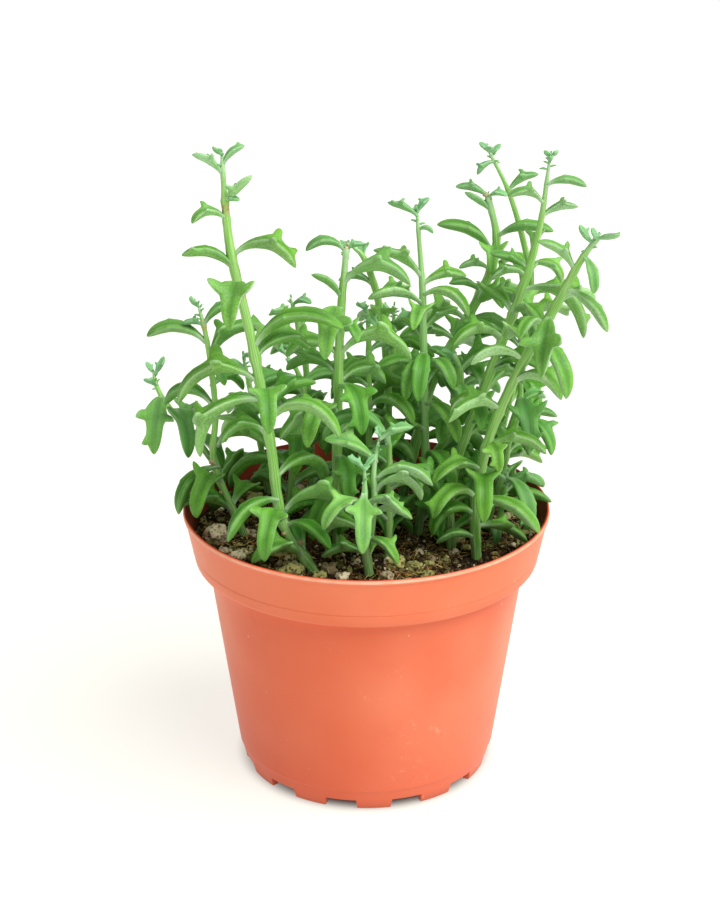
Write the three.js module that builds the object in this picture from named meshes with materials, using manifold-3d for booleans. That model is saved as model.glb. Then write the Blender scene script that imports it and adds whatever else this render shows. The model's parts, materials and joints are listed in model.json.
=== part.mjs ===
// Potted string of dolphins: a moulded plastic pot, a plug of potting soil and rooted leafy stems.
// Millimetres, +Z up. The origin is the middle of the pot's foot, on the surface that it stands on.
// The plant's front faces -Y.

import * as THREE from 'three';
import { mergeVertices } from 'three/addons/utils/BufferGeometryUtils.js';
import Module from 'manifold-3d';

// Pot: a six inch azalea pot.
const rimRadius = 76.2;
const potHeight = 115;
const wall = 1.3;
const beadHeight = 2.4;
const lipFoot = 92.8;
const lipFootRadius = 71.5;
const shoulderRadius = 66.4;
const heelRadius = 54.8;
const heelHeight = 9.5;
const footRadius = 52.2;
const footWall = 2.6;
const floorBottom = 4.6;
const floorTop = 6.2;
const notchCount = 12;
const notchSize = [8, 13.5, 4];
const firstNotch = 270 - 11.5;
const drainCount = 6;
const drainRadius = 3;
const drainRing = 34;

// Soil: its level at the wall and in the middle, and how far its surface rolls.
const soilEdge = 102.4;
const soilMiddle = 101.2;
const soilRoll = 0.8;
const soilRings = [0.8, 0.55, 0.28];
const seatGap = 0.35;
const roundSides = 32;

// Stems. A sleeve is the plain hole in the soil that a stem stands in.
const stemSides = 5;
const knotSpacing = 23;
const sleeveTop = 106;
const thinningStart = 0.75;

// Leaves: fleshy blades on a narrow stalk, with a pair of pointed fins where they bend.
const usualRise = 45;
const lowestFall = -115;
const mostSwing = 15;
const mostRoll = 30;
const spineSteps = 14;
const smallLeaf = 13.5;
const mediumLeaf = 30;
const widestBlade = 3.5;
const widthShare = 0.085;
const leastBlade = 0.65;
const widestStalk = 1.1;
const stalkShare = 0.35;
const leastStalk = 0.15;
const stalkEnd = 0.04;
const widening = 0.42;
const taperStart = 0.55;
const taperPower = 2.7;
const keelShare = 0.72;
const edgeShare = 0.3;
const thinnest = 0.5;
const finPlace = [0.42, 0.62];
const finTilt = THREE.MathUtils.degToRad(40);
const longestFin = 6.5;
const finShare = 0.175;
const finScale = [0.8, 1.25];
const plainChance = 0.3;
const plainFin = 0.12;
const leastFin = 0.3;
const plainStations = [0.35, 0.62];
const toothPlace = 0.83;
const toothWidth = 1.35;
const toothChance = 0.25;
const finSpan = [0.09, 0.08];
const goldenTurn = 137.5;
const fillRise = 50;
const fillFall = [-30, -95];
const fillLength = [0.9, 1.1];
const leafSeed = 11;

// Room that a leaf keeps to other plants, the pot and the soil. A leaf's root crowds its own plant.
const roomToOthers = 0.8;
const rootShare = 0.3;
const spread = [96, 75.5];
const cellSize = 9;
const ballsPerSpan = 8;
const wideBlade = 1.4;

// Ways a growing leaf bends clear: turned sideways, drooping more or less, and shorter.
const bends = [
  [0, 0, 1], [12, 0, 1], [-12, 0, 1], [0, 15, 1], [0, -15, 1], [25, 0, 1], [-25, 0, 1], [12, 15, 0.95],
  [-12, 15, 0.95], [40, 0, 0.95], [-40, 0, 0.95], [0, 30, 0.9], [0, -25, 0.85], [60, 0, 0.9],
  [-60, 0, 0.9], [0, 0, 0.75], [25, 20, 0.75], [-25, 20, 0.75], [90, 0, 0.8], [-90, 0, 0.8],
  [0, 0, 0.55], [45, 0, 0.6], [-45, 0, 0.6], [130, 0, 0.6], [-130, 0, 0.6], [180, 0, 0.5],
];

// Each shoot: its girth as radii at the root, where it starts to thin, and at the tip, and waypoints of
// its middle line from the root up. Two shoots with one name are one plant that forks. A leaf row is the
// height of its node, its facing (0 right, 90 away, 180 left, 270 to the front), its length, the slope at
// its tip and, where they aren't the usual ones, the slope at its root and the share of the usual reach
// of its fins. The fill adds leaves by rule: from one height to another, with the gap between nodes, the
// facing of the first leaf and the length of the longest.

const shoots = [
  {
    name: 'stem_tall_left',
    girth: [2.2, 1.8, 0.65],
    path: [[-17, -41, 88], [-21, -40, 102], [-33.5, -38, 123], [-37.6, -35, 155], [-44, -32, 193],
      [-51.2, -29, 228], [-54, -26, 250], [-54.7, -24, 269]],
    leaves: [[264, 15, 12, 5, 70], [268, 205, 5, 40], [265, 100, 6, 30], [260.5, 188, 15, 5, 62],
      [250, 338, 16, 35, 55], [250.5, 345, 8, -5, 40], [243.5, 190, 17, -65, 52], [230, 355, 31, -72],
      [223.5, 187, 25, -28, 62], [216, 268, 34, -92, 45, 1.35], [193, 352, 44, -40, 64],
      [189, 20, 30, -65, 60], [180, 175, 42, -80, 40], [173, 196, 42, -105, 15], [165, 35, 30, -30, 75],
      [163, 338, 42, -75, 60], [160, 190, 24, -80], [132, 222, 33, -80, 25, 0.1], [127, 350, 36, -60, 60],
      [122, 320, 26, -60, 30], [107, 190, 30, -45, 60]],
    fill: [108, 200, 15.6, 90, 36],
  },
  {
    name: 'stem_left',
    girth: [1.9, 1.15, 0.7],
    path: [[-46, -6, 88], [-51, -4, 102], [-57, -2, 116], [-63, 0, 134], [-62, 3, 155], [-65, 6, 184],
      [-68, 8, 199]],
    leaves: [[198, 200, 6, 60], [190.5, 190, 9, -30, 40], [183.5, 182, 28, -45], [190, 10, 20, -10, 65],
      [174, 12, 36, -40, 82], [165, 40, 22, -85, 40], [153, 10, 26, -70, 60], [140, 350, 30, -65, 60],
      [131.5, 212, 31, -110, 8, 0.1], [111, 190, 28, -40, 60], [114, 60, 26, -60]],
    fill: [108, 180, 15.6, 100, 32],
  },
  {
    name: 'stem_left',
    girth: [1.4, 0.9, 0.55],
    path: [[-63, 0, 133], [-72, 12, 140], [-80, 24, 144], [-87, 35, 149], [-90, 40, 154], [-91, 42, 158]],
    leaves: [[157.5, 150, 6, 60], [157, 40, 9, 55], [153, 185, 7, 10], [149, 255, 38, -96, 25, 1],
      [146, 295, 33, -95, 25], [141, 290, 26, -92, 0], [143, 80, 20, -70]],
  },
  {
    name: 'stem_left_mid',
    girth: [1.5, 1.1, 0.6],
    path: [[-36, 8, 88], [-34, 10, 102], [-31, 12, 122], [-28, 14, 140], [-26, 16, 157], [-29, 17, 168],
      [-33, 18, 174]],
    leaves: [[174, 170, 7, 40], [173, 60, 8, 30], [170, 210, 7, 20], [164, 195, 28, -95, 25],
      [160, 30, 24, -60], [137, 345, 37, -65, 55], [124, 190, 38, -90], [145, 110, 26, -60],
      [117, 30, 26, -60], [114, 150, 26, -50]],
    fill: [107, 165, 14, 0, 32],
  },
  {
    name: 'stem_centre_left',
    girth: [2.1, 1.7, 1.1],
    path: [[-13, -21, 88], [-12, -19, 102], [-12, -16, 122], [-12, -14, 150], [-11, -13, 180],
      [-10, -11, 205], [-8, -10, 229]],
    leaves: [[227, 10, 8, -20], [226.5, 186, 19, -58, 52], [207, 180, 17, 5, 72], [213, 350, 34, -60, 58],
      [203, 255, 34, -92, 25, 1.2], [184, 350, 38, -70, 60], [172, 300, 32, -92, 20], [176, 150, 28, -60],
      [155, 200, 30, -70], [150, 40, 30, -60], [142, 290, 28, -88, 15], [118, 200, 28, -50],
      [114, 20, 24, -50]],
    fill: [106, 200, 12.8, 60, 34],
  },
  {
    name: 'stem_front',
    girth: [2, 1.2, 0.6],
    path: [[2, -43, 88], [1, -42, 102], [0, -42, 112], [-1, -43, 126], [-1, -44, 139], [-1, -45, 149]],
    leaves: [[149, 170, 8, 20], [149, 30, 7, 40], [148, 260, 7, 0], [134, 195, 25, -75, 30],
      [138, 268, 30, -80, 0], [118, 320, 20, -70, 20], [110, 185, 21, -50]],
    fill: [107, 140, 12, 60, 28],
  },
  {
    name: 'stem_front',
    girth: [1.4, 1, 0.6],
    path: [[0, -42, 111], [2, -40, 121], [3, -38, 134], [3, -37, 145], [5, -35, 158]],
    leaves: [[158, 100, 5, 50], [157, 5, 15, -10], [148, 180, 24, -5, 50], [141, 345, 28, -60, 50],
      [136, 355, 28, -95, 60], [127, 340, 20, -45]],
  },
  {
    name: 'stem_centre_short',
    girth: [1.7, 1.2, 0.7],
    path: [[10, -29, 88], [9, -28, 102], [9, -26, 125], [9, -25, 145], [9, -25, 156]],
    leaves: [[155, 20, 8, 20], [150, 195, 40, -80, 75, 0.1], [133, 350, 31, -90, 60], [140, 110, 24, -60],
      [118, 60, 24, -60]],
    fill: [106, 150, 12, 90, 32],
  },
  {
    name: 'stem_centre_right',
    girth: [1.9, 1.3, 0.7],
    path: [[21, -1, 88], [22, 0, 102], [24, 2, 130], [24, 4, 160], [23, 5, 189], [22, 7, 215], [20, 8, 238]],
    leaves: [[236, 180, 13.5, -5, 45], [237, 20, 8, 20, 70], [236, 100, 5, 50], [230, 335, 8, -75, 50],
      [211, 178, 24, -5, 60], [207.5, 5, 20, -30, 45], [203.5, 338, 26, -78, 35], [200, 192, 26, -30],
      [188.5, 10, 18, 0, 62], [179, 268, 31, -86, 20], [176, 245, 26, -88, 20], [172, 185, 22, -40],
      [158, 345, 30, -80, 20], [165, 60, 28, -60], [146, 210, 28, -70], [124, 262, 34, -68, 10],
      [113, 300, 22, -30], [118, 130, 28, -60]],
    fill: [106, 205, 12.8, 20, 34],
  },
  {
    name: 'stem_right_cut',
    girth: [2.2, 1.9, 1.15],
    path: [[13, 26, 88], [15, 27, 102], [20, 28, 125], [28, 30, 158], [40, 31, 181], [50, 31, 202],
      [53.5, 30, 220], [49.5, 30, 239]],
    leaves: [[238, 180, 15, -15], [232, 182, 14, 20, 50, 0.1], [238, 350, 9, -40], [214, 190, 29, -12, 62],
      [221, 352, 26, -28, 42, 0.1], [216, 264, 20, -95, 30, 1.5], [207, 190, 15, -40],
      [199, 322, 40, -86, 10], [197, 192, 16, -25, 55], [182, 350, 26, -70], [176, 190, 28, -50],
      [168, 60, 28, -60], [160, 300, 26, -60], [140, 120, 28, -60], [130, 0, 28, -60], [125, 200, 26, -60]],
    fill: [106, 200, 12.8, 90, 36],
  },
  {
    name: 'stem_thin_right',
    girth: [1.8, 1.25, 0.6],
    path: [[50, 36, 88], [52, 37, 102], [58, 39, 130], [65, 40, 165], [69, 37, 198], [65, 34, 217],
      [58, 31, 240], [49, 27, 258]],
    leaves: [[257, 150, 6, 20], [256, 30, 6, 30], [257, 270, 5, 30], [253, 205, 10, -75, 5],
      [240, 5, 15, -5, 60], [216, 170, 9, 10], [207, 340, 20, -95, 35], [194, 190, 22, -60],
      [182, 30, 26, -60], [170, 150, 28, -60], [156, 215, 26, -60], [142, 60, 28, -60], [128, 190, 28, -60],
      [116, 20, 28, -60]],
    fill: [107, 215, 13.8, 240, 32],
  },
  {
    name: 'stem_tall_right',
    girth: [2.2, 1.65, 0.6],
    path: [[35, -15, 88], [35, -14, 102], [34, -10, 121], [38, -7, 140], [51, -3, 177], [61, -2, 205],
      [68, -2, 234], [71.5, -2, 263]],
    leaves: [[262, 200, 4, 40], [262, 0, 4, 40], [260, 270, 5, 30], [258, 120, 5, 30],
      [251, 355, 17, -40, 30, 0.1], [243.5, 188, 17, -42, 58], [238, 10, 16, -20], [217, 172, 17, 0, 40],
      [214, 200, 18, -60], [224, 80, 18, -40], [208, 338, 40, -98, 25, 1.15], [198, 120, 28, -60],
      [188, 190, 26, -60], [176, 340, 28, -60], [166, 100, 30, -60], [152, 190, 30, -70],
      [130, 200, 26, -60], [118, 20, 22, -50]],
    fill: [106, 215, 12.8, 60, 34],
  },
  {
    name: 'stem_lean_right',
    girth: [2.2, 1.75, 0.75],
    path: [[46, -26, 88], [45, -26, 102], [44, -26, 128], [49, -26, 155], [60, -27, 184], [72, -28, 208],
      [81, -30, 227], [88, -30, 238]],
    leaves: [[237, 0, 12, 10, 25], [237, 280, 6, 0], [237, 120, 5, 40], [235, 140, 9, 60],
      [230, 290, 17, -100, -15, 0.1], [224, 170, 20, 0, 70], [217, 330, 25, -72, -10], [210, 30, 22, -60],
      [205, 262, 33, -88, 10, 1.3], [193, 297, 35, -98, 25, 0.1], [187, 180, 25, -60], [166, 200, 28, -60],
      [150, 350, 28, -60], [140, 180, 26, -60], [128, 335, 32, -58, 15, 0.1], [116, 342, 25, -60, 10],
      [128, 205, 30, -82, 55, 0.1], [110, 200, 20, -50]],
    fill: [106, 205, 13.8, 0, 34],
  },
  {
    name: 'stem_right',
    girth: [1.8, 1.3, 0.7],
    path: [[49, 4, 88], [50, 4, 102], [56, 4, 125], [60, 4, 147], [63, 3, 162], [61, 2, 173]],
    leaves: [[173, 180, 8, 0], [172, 20, 8, 20], [171, 300, 8, -10], [168, 340, 10, -30],
      [160, 262, 35, -75, 20], [150, 0, 20, -40], [147, 320, 29, -98], [124, 205, 30, -75, 50],
      [135, 100, 26, -60], [116, 350, 26, -50, 30]],
    fill: [106, 165, 12.8, 200, 32],
  },
  {
    name: 'stem_right_low',
    girth: [1.5, 1.1, 0.7],
    path: [[54, -8, 88], [54, -8, 102], [56, -7, 118], [58, -6, 132]],
    leaves: [[129, 340, 32, -115, 10, 0.1], [128, 150, 28, -70], [122, 40, 26, -80], [118, 250, 22, -60]],
    fill: [107, 128, 8.8, 80, 30],
  },
  {
    name: 'stem_lean_back',
    girth: [1.8, 1.5, 1.1],
    path: [[20, 18, 88], [21, 18, 102], [23, 17, 120], [32, 11, 138], [37, 5, 158], [38, 2, 172],
      [35, 0, 181]],
    leaves: [[180, 200, 6, 0], [173, 180, 18, -15, 55], [170, 0, 26, -30, 70], [166, 318, 22, -60, 20],
      [158, 100, 26, -60], [150, 330, 30, -60], [143, 190, 26, -60], [128, 60, 26, -60], [118, 330, 24, -50]],
    fill: [106, 170, 12.8, 140, 32],
  },
  {
    name: 'stem_back_left',
    girth: [1.7, 1.3, 0.65],
    path: [[-24, 38, 88], [-24, 40, 102], [-24, 42, 130], [-26, 43, 160], [-29, 43, 179], [-32, 43, 191]],
    fill: [105, 190, 9.6, 40, 34],
  },
  {
    name: 'stem_back_centre',
    girth: [1.8, 1.4, 0.7],
    path: [[0, 20, 88], [3, 20, 102], [8, 21, 130], [9, 22, 155], [6, 24, 190], [0, 26, 211], [-7, 27, 219]],
    fill: [105, 218, 9.6, 100, 36],
  },
  {
    name: 'stem_small_centre',
    girth: [1.6, 1.2, 0.6],
    path: [[2, 2, 88], [2, 3, 102], [1, 4, 130], [1, 5, 160], [1, 7, 184], [0, 8, 198]],
    fill: [106, 197, 9.6, 0, 32],
  },
  {
    name: 'stem_far_left',
    girth: [1.6, 1.2, 0.6],
    path: [[-43, 40, 88], [-43, 42, 102], [-46, 44, 125], [-50, 45, 148], [-53, 45, 165]],
    fill: [105, 164, 9.6, 70, 33],
  },
  {
    name: 'stem_far_centre',
    girth: [1.7, 1.3, 0.65],
    path: [[5, 52, 88], [5, 53, 102], [8, 53, 130], [11, 53, 160], [12, 52, 185]],
    fill: [105, 184, 9.6, 10, 35],
  },
  {
    name: 'stem_far_right',
    girth: [1.6, 1.2, 0.6],
    path: [[36, 46, 88], [37, 47, 102], [38, 48, 125], [38, 49, 150], [37, 50, 172]],
    fill: [105, 171, 9.6, 200, 34],
  },
];

const colours = {
  pot: '#d9714f',
  soil: '#3b2c20',
  shoot: '#5fa545',
};

function makeDraw(seed) {
  let state = seed;
  return () => {
    state = (state * 1664525 + 1013904223) % 4294967296;
    return state / 4294967296;
  };
}

function mix(a, b, t) {
  return a + (b - a) * t;
}

function smooth(t) {
  const k = Math.min(1, Math.max(0, t));
  return k * k * (3 - 2 * k);
}

// Point at share u of a smooth line through the waypoints.
function linePoint(path, u) {
  const spans = path.length - 1;
  const k = Math.min(Math.floor(u * spans), spans - 1);
  const t = u * spans - k;
  const from = path[k];
  const to = path[k + 1];
  return from.map((start, axis) => {
    const end = to[axis];
    const before = k > 0 ? path[k - 1][axis] : 2 * start - end;
    const after = k + 2 <= spans ? path[k + 2][axis] : 2 * end - start;
    const cubic = (3 * start - before - 3 * end + after) * t * t * t;
    const square = (2 * before - 5 * start + 4 * end - after) * t * t;
    return 0.5 * (2 * start + (end - before) * t + square + cubic);
  });
}

// A stem stays thick for most of its length and thins quickly to its tip.
function girthAt(shoot, share) {
  const [root, upper, tip] = shoot.girth;
  if (share < thinningStart) return mix(root, upper, share / thinningStart);
  return mix(upper, tip, (share - thinningStart) / (1 - thinningStart));
}

// Places along a shoot's middle line that its stem is drawn through, each with its girth.
function stemKnots(shoot) {
  const points = shoot.path.map((point) => new THREE.Vector3(...point));
  const length = points.slice(1).reduce((sum, point, i) => sum + point.distanceTo(points[i]), 0);
  const count = Math.round(length / knotSpacing);
  return Array.from({ length: count + 1 }, (_, i) => {
    const share = i / count;
    return { point: new THREE.Vector3(...linePoint(shoot.path, share)), girth: girthAt(shoot, share) };
  });
}

// Middle and girth of a stem at a height.
function stemAtHeight(knots, height) {
  let k = 0;
  while (k + 2 < knots.length && knots[k + 1].point.z < height) k += 1;
  const [from, to] = [knots[k], knots[k + 1]];
  const share = Math.min(1, (height - from.point.z) / (to.point.z - from.point.z));
  return { point: from.point.clone().lerp(to.point, share), girth: mix(from.girth, to.girth, share) };
}

// Further leaf rows up a shoot: nodes close up and leaves shorten towards the tip.
function rowsByRule(shoot, draw) {
  const [start, stop, gap, turn, reach] = shoot.fill;
  const top = shoot.path[shoot.path.length - 1][2];
  const rows = [];
  let facing = turn;
  let height = start;
  while (height < stop) {
    const left = (top - height) / (top - start);
    const length = reach * Math.min(1, 0.25 + 1.3 * left) * mix(...fillLength, draw());
    const fall = mix(...fillFall, Math.min(1, 1.5 * left));
    rows.push([height, facing % 360, length, fall, fillRise]);
    height += gap * (0.45 + 0.6 * Math.min(1, 1.6 * left));
    facing += goldenTurn;
  }
  return rows;
}

// Middle line of a leaf with its side and upper directions at each step.
function leafSpine(leaf) {
  const point = leaf.root.clone();
  const spine = [];
  const step = leaf.length / spineSteps;
  for (let i = 0; i <= spineSteps; i += 1) {
    const t = i / spineSteps;
    const slope = THREE.MathUtils.degToRad(mix(leaf.rise, leaf.fall, 0.5 * t + 0.5 * smooth(t)));
    const turn = THREE.MathUtils.degToRad(leaf.facing + leaf.swing * t);
    const roll = THREE.MathUtils.degToRad(leaf.roll * t);
    const out = Math.cos(slope);
    const along = new THREE.Vector3(out * Math.cos(turn), out * Math.sin(turn), Math.sin(slope));
    const level = new THREE.Vector3(Math.sin(turn), -Math.cos(turn), 0);
    const upper = new THREE.Vector3().crossVectors(level, along);
    const side = level.clone().multiplyScalar(Math.cos(roll)).addScaledVector(upper, Math.sin(roll));
    const top = upper.clone().multiplyScalar(Math.cos(roll)).addScaledVector(level, -Math.sin(roll));
    spine.push({ t, point: point.clone(), side, top });
    point.addScaledVector(along, step);
  }
  return spine;
}

// Half the width of the blade at share t of its length.
function halfWidth(leaf, t) {
  const widest = Math.min(widestBlade, widthShare * leaf.length + leastBlade);
  const stalk = Math.min(widestStalk, stalkShare * widest + leastStalk);
  const blade = mix(stalk, widest, smooth((t - stalkEnd) / widening));
  const taper = Math.max(0, t - taperStart) / (1 - taperStart);
  return blade * (1 - taper ** taperPower);
}

function finReach(leaf) {
  return Math.min(longestFin, finShare * leaf.length);
}

// Corner at a share of the way out along a fin, on the left (-1) or the right (1).
function finPoint(leaf, place, sign, share) {
  const scale = sign < 0 ? leaf.finLeft : leaf.finRight;
  const reach = finReach(leaf) * scale * share;
  const out = halfWidth(leaf, place.t) + reach * Math.cos(finTilt);
  return place.point.clone()
    .addScaledVector(place.side, sign * out)
    .addScaledVector(place.top, reach * Math.sin(finTilt));
}

function spineAt(spine, t) {
  const scaled = t * spineSteps;
  const k = Math.min(Math.floor(scaled), spineSteps - 1);
  const part = scaled - k;
  const from = spine[k];
  const to = spine[k + 1];
  return {
    t,
    point: from.point.clone().lerp(to.point, part),
    side: from.side.clone().lerp(to.side, part).normalize(),
    top: from.top.clone().lerp(to.top, part).normalize(),
  };
}

// Balls that fill a leaf, for keeping it clear of everything else: a pair abreast where it is wide.
function leafBalls(leaf, spine) {
  const balls = [];
  const add = (centre, radius, t) => balls.push({ centre, radius, t });
  spine.forEach(({ t, point, side }) => {
    const half = Math.max(thinnest, halfWidth(leaf, t));
    if (half > wideBlade) {
      add(point.clone().addScaledVector(side, -0.42 * half), 0.66 * half, t);
      add(point.clone().addScaledVector(side, 0.42 * half), 0.66 * half, t);
    } else {
      add(point.clone(), half, t);
    }
  });
  const place = spineAt(spine, leaf.finPlace);
  for (const sign of [-1, 1]) {
    add(finPoint(leaf, place, sign, 0.45), 0.16 * finReach(leaf) + 0.2, leaf.finPlace);
    add(finPoint(leaf, place, sign, 0.9), thinnest, leaf.finPlace);
  }
  return balls;
}

// Level of the soil: a little lower in the middle, rolling gently and even along the wall.
function soilHeight(x, y) {
  const out = Math.hypot(x, y) / shoulderRadius;
  const roll = Math.sin(0.21 * x + 1) * Math.cos(0.17 * y) + 0.5 * Math.sin(0.33 * y - 0.1 * x);
  return mix(soilMiddle, soilEdge, Math.min(1, out * out)) + soilRoll * roll * (1 - Math.min(1, out ** 6));
}

// Gap from a ball to the pot's lip, as a slanted wall in the plane through the pot's axis.
function gapToLip(centre, radius) {
  const low = new THREE.Vector2(lipFootRadius - wall, lipFoot);
  const high = new THREE.Vector2(rimRadius - wall, potHeight - wall);
  const here = new THREE.Vector2(Math.hypot(centre.x, centre.y), centre.z);
  const line = high.clone().sub(low);
  const share = THREE.MathUtils.clamp(here.clone().sub(low).dot(line) / line.lengthSq(), 0, 1);
  return here.distanceTo(low.addScaledVector(line, share)) - radius - wall;
}

// All that a new leaf has to stay clear of, kept in cells of space.
class Room {
  constructor() {
    this.cells = new Map();
  }

  static cellOf(centre) {
    return centre.toArray().map((value) => Math.floor(value / cellSize));
  }

  add(ball) {
    const key = Room.cellOf(ball.centre).join();
    if (!this.cells.has(key)) this.cells.set(key, []);
    this.cells.get(key).push(ball);
  }

  near(centre) {
    const found = [];
    const [x, y, z] = Room.cellOf(centre);
    for (let i = x - 1; i <= x + 1; i += 1) {
      for (let j = y - 1; j <= y + 1; j += 1) {
        for (let k = z - 1; k <= z + 1; k += 1) found.push(...(this.cells.get([i, j, k].join()) ?? []));
      }
    }
    return found;
  }

  clear(ball, plant) {
    const { centre, radius, t } = ball;
    if (Math.abs(centre.x) + radius > spread[0] || Math.abs(centre.y) + radius > spread[1]) return false;
    const free = t > rootShare;
    if (free && gapToLip(centre, radius) < roomToOthers) return false;
    if (free && centre.z - radius < soilHeight(centre.x, centre.y) + roomToOthers) return false;
    return this.near(centre).every((other) => {
      const own = other.plant === plant;
      if (own && !(free && other.t > rootShare)) return true;
      return centre.distanceTo(other.centre) >= radius + other.radius + (own ? 0 : roomToOthers);
    });
  }
}

// Settle rows of leaves on a shoot: each takes the first bend that is clear of what has grown before.
function growRows({ shoot, knots, leaves }, rows, room, draw) {
  rows.forEach(([height, facing, length, fall, rise = usualRise, fins]) => {
    const node = stemAtHeight(knots, height);
    const usualFins = draw() < plainChance ? plainFin : 1;
    const habit = {
      root: node.point,
      stem: node.girth,
      rise,
      swing: mix(-mostSwing, mostSwing, draw()),
      roll: mix(-mostRoll, mostRoll, draw()),
      finLeft: mix(...finScale, draw()) * (fins ?? usualFins),
      finRight: mix(...finScale, draw()) * (fins ?? usualFins),
      finPlace: mix(...finPlace, draw()),
      tooth: draw() < toothChance,
    };
    for (const [turn, droop, scale] of bends) {
      const leaf = { ...habit, facing: facing + turn, length: length * scale };
      leaf.fall = Math.max(lowestFall, fall + droop);
      const balls = leafBalls(leaf, leafSpine(leaf));
      if (balls.every((ball) => room.clear(ball, shoot.name))) {
        balls.forEach((ball) => room.add({ ...ball, plant: shoot.name }));
        leaves.push(leaf);
        break;
      }
    }
  });
}

// The stems take their room first, then the leaves that stand out, then those that fill the rest.
function growLeaves() {
  const draw = makeDraw(leafSeed);
  const room = new Room();
  const plants = shoots.map((shoot) => ({ shoot, knots: stemKnots(shoot), leaves: [] }));
  plants.forEach(({ shoot, knots }) => knots.slice(1).forEach((to, i) => {
    for (let ball = 0; ball < ballsPerSpan; ball += 1) {
      const part = ball / ballsPerSpan;
      const centre = knots[i].point.clone().lerp(to.point, part);
      room.add({ centre, radius: mix(knots[i].girth, to.girth, part), t: 1, plant: shoot.name });
    }
  }));
  plants.forEach((plant) => growRows(plant, plant.shoot.leaves ?? [], room, draw));
  plants.filter(({ shoot }) => shoot.fill).forEach((plant) => {
    growRows(plant, rowsByRule(plant.shoot, draw), room, draw);
  });
  return plants;
}

const wasm = await Module();
wasm.setup();

// Closed rings of points, one after the other, as a mesh with flat ends or a pointed tip.
function ringMesh(rings, tip) {
  const points = rings.flat();
  const sides = rings[0].length;
  const faces = [];
  for (let ring = 0; ring + 1 < rings.length; ring += 1) {
    for (let side = 0; side < sides; side += 1) {
      const next = (side + 1) % sides;
      const a = ring * sides + side;
      const b = ring * sides + next;
      faces.push([a, b, b + sides], [a, b + sides, a + sides]);
    }
  }
  for (let side = 1; side + 1 < sides; side += 1) faces.push([0, side + 1, side]);
  const last = (rings.length - 1) * sides;
  if (tip) {
    points.push(tip);
    for (let side = 0; side < sides; side += 1) {
      faces.push([last + side, last + ((side + 1) % sides), points.length - 1]);
    }
  } else {
    for (let side = 1; side + 1 < sides; side += 1) faces.push([last, last + side, last + side + 1]);
  }
  return toSolid(points.flatMap((point) => [point.x, point.y, point.z]), faces.flat());
}

// A solid from loose positions and corners, turned the right way out.
function toSolid(positions, corners) {
  const triangles = [];
  let volume = 0;
  for (let i = 0; i < corners.length; i += 3) {
    const [a, b, c] = corners.slice(i, i + 3);
    if (a === b || b === c || c === a) continue;
    const [p, q, r] = [a, b, c].map((k) => new THREE.Vector3().fromArray(positions, 3 * k));
    volume += p.dot(q.cross(r));
    triangles.push([a, b, c]);
  }
  const turned = volume < 0 ? triangles.map(([a, b, c]) => [a, c, b]) : triangles;
  return new wasm.Manifold(new wasm.Mesh({
    numProp: 3,
    vertProperties: new Float32Array(positions),
    triVerts: new Uint32Array(turned.flat()),
  }));
}

function geometryToSolid(geometry) {
  geometry.deleteAttribute('normal');
  geometry.deleteAttribute('uv');
  const merged = mergeVertices(geometry);
  return toSolid(Array.from(merged.attributes.position.array), Array.from(merged.index.array));
}

function solidToMesh(name, solid, colour, roughness) {
  const { vertProperties, triVerts } = solid.getMesh();
  const geometry = new THREE.BufferGeometry();
  geometry.setAttribute('position', new THREE.BufferAttribute(new Float32Array(vertProperties), 3));
  geometry.setIndex(new THREE.BufferAttribute(new Uint32Array(triVerts), 1));
  geometry.computeVertexNormals();
  const material = new THREE.MeshStandardMaterial({ color: colour, roughness, metalness: 0 });
  const mesh = new THREE.Mesh(geometry, material);
  mesh.name = name;
  return mesh;
}

// A round body from its profile of radius and height.
function turned(profile) {
  const points = profile.map(([radius, height]) => new THREE.Vector2(radius, height));
  return new THREE.LatheGeometry(points, roundSides).rotateX(Math.PI / 2);
}

function innerRadiusAt(height) {
  const share = (height - lipFoot - wall) / (potHeight - lipFoot - wall);
  return mix(lipFootRadius - wall, rimRadius - wall, share);
}

function makePot() {
  const outside = [
    [0, floorBottom], [footRadius - footWall, floorBottom], [footRadius - footWall, 0], [footRadius, 0],
    [heelRadius - 0.5, heelHeight - 0.6], [heelRadius, heelHeight], [shoulderRadius, lipFoot],
    [lipFootRadius - 0.8, lipFoot], [lipFootRadius, lipFoot + 0.8],
    [rimRadius - 0.7, potHeight - beadHeight], [rimRadius, potHeight - beadHeight + 0.4],
    [rimRadius, potHeight - 0.5], [rimRadius - 0.5, potHeight],
  ];
  const inside = [
    [rimRadius - wall, potHeight], [lipFootRadius - wall, lipFoot + wall],
    [shoulderRadius - wall, lipFoot + wall], [heelRadius - wall, heelHeight],
    [heelRadius - wall - 0.6, floorTop], [0, floorTop],
  ];
  let pot = geometryToSolid(turned([...outside, ...inside]));
  for (let i = 0; i < notchCount; i += 1) {
    const notch = new THREE.BoxGeometry(...notchSize);
    notch.translate(footRadius - footWall / 2, 0, notchSize[2] / 2 - 0.01);
    notch.rotateZ(THREE.MathUtils.degToRad(firstNotch + i * (360 / notchCount)));
    pot = pot.subtract(geometryToSolid(notch));
  }
  for (let i = 0; i < drainCount; i += 1) {
    const drain = new THREE.CylinderGeometry(drainRadius, drainRadius, 8, 8);
    drain.rotateX(Math.PI / 2);
    drain.translate(drainRing, 0, floorTop);
    drain.rotateZ(THREE.MathUtils.degToRad(i * (360 / drainCount)));
    pot = pot.subtract(geometryToSolid(drain));
  }
  return solidToMesh('pot', pot, colours.pot, 0.5);
}

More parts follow.
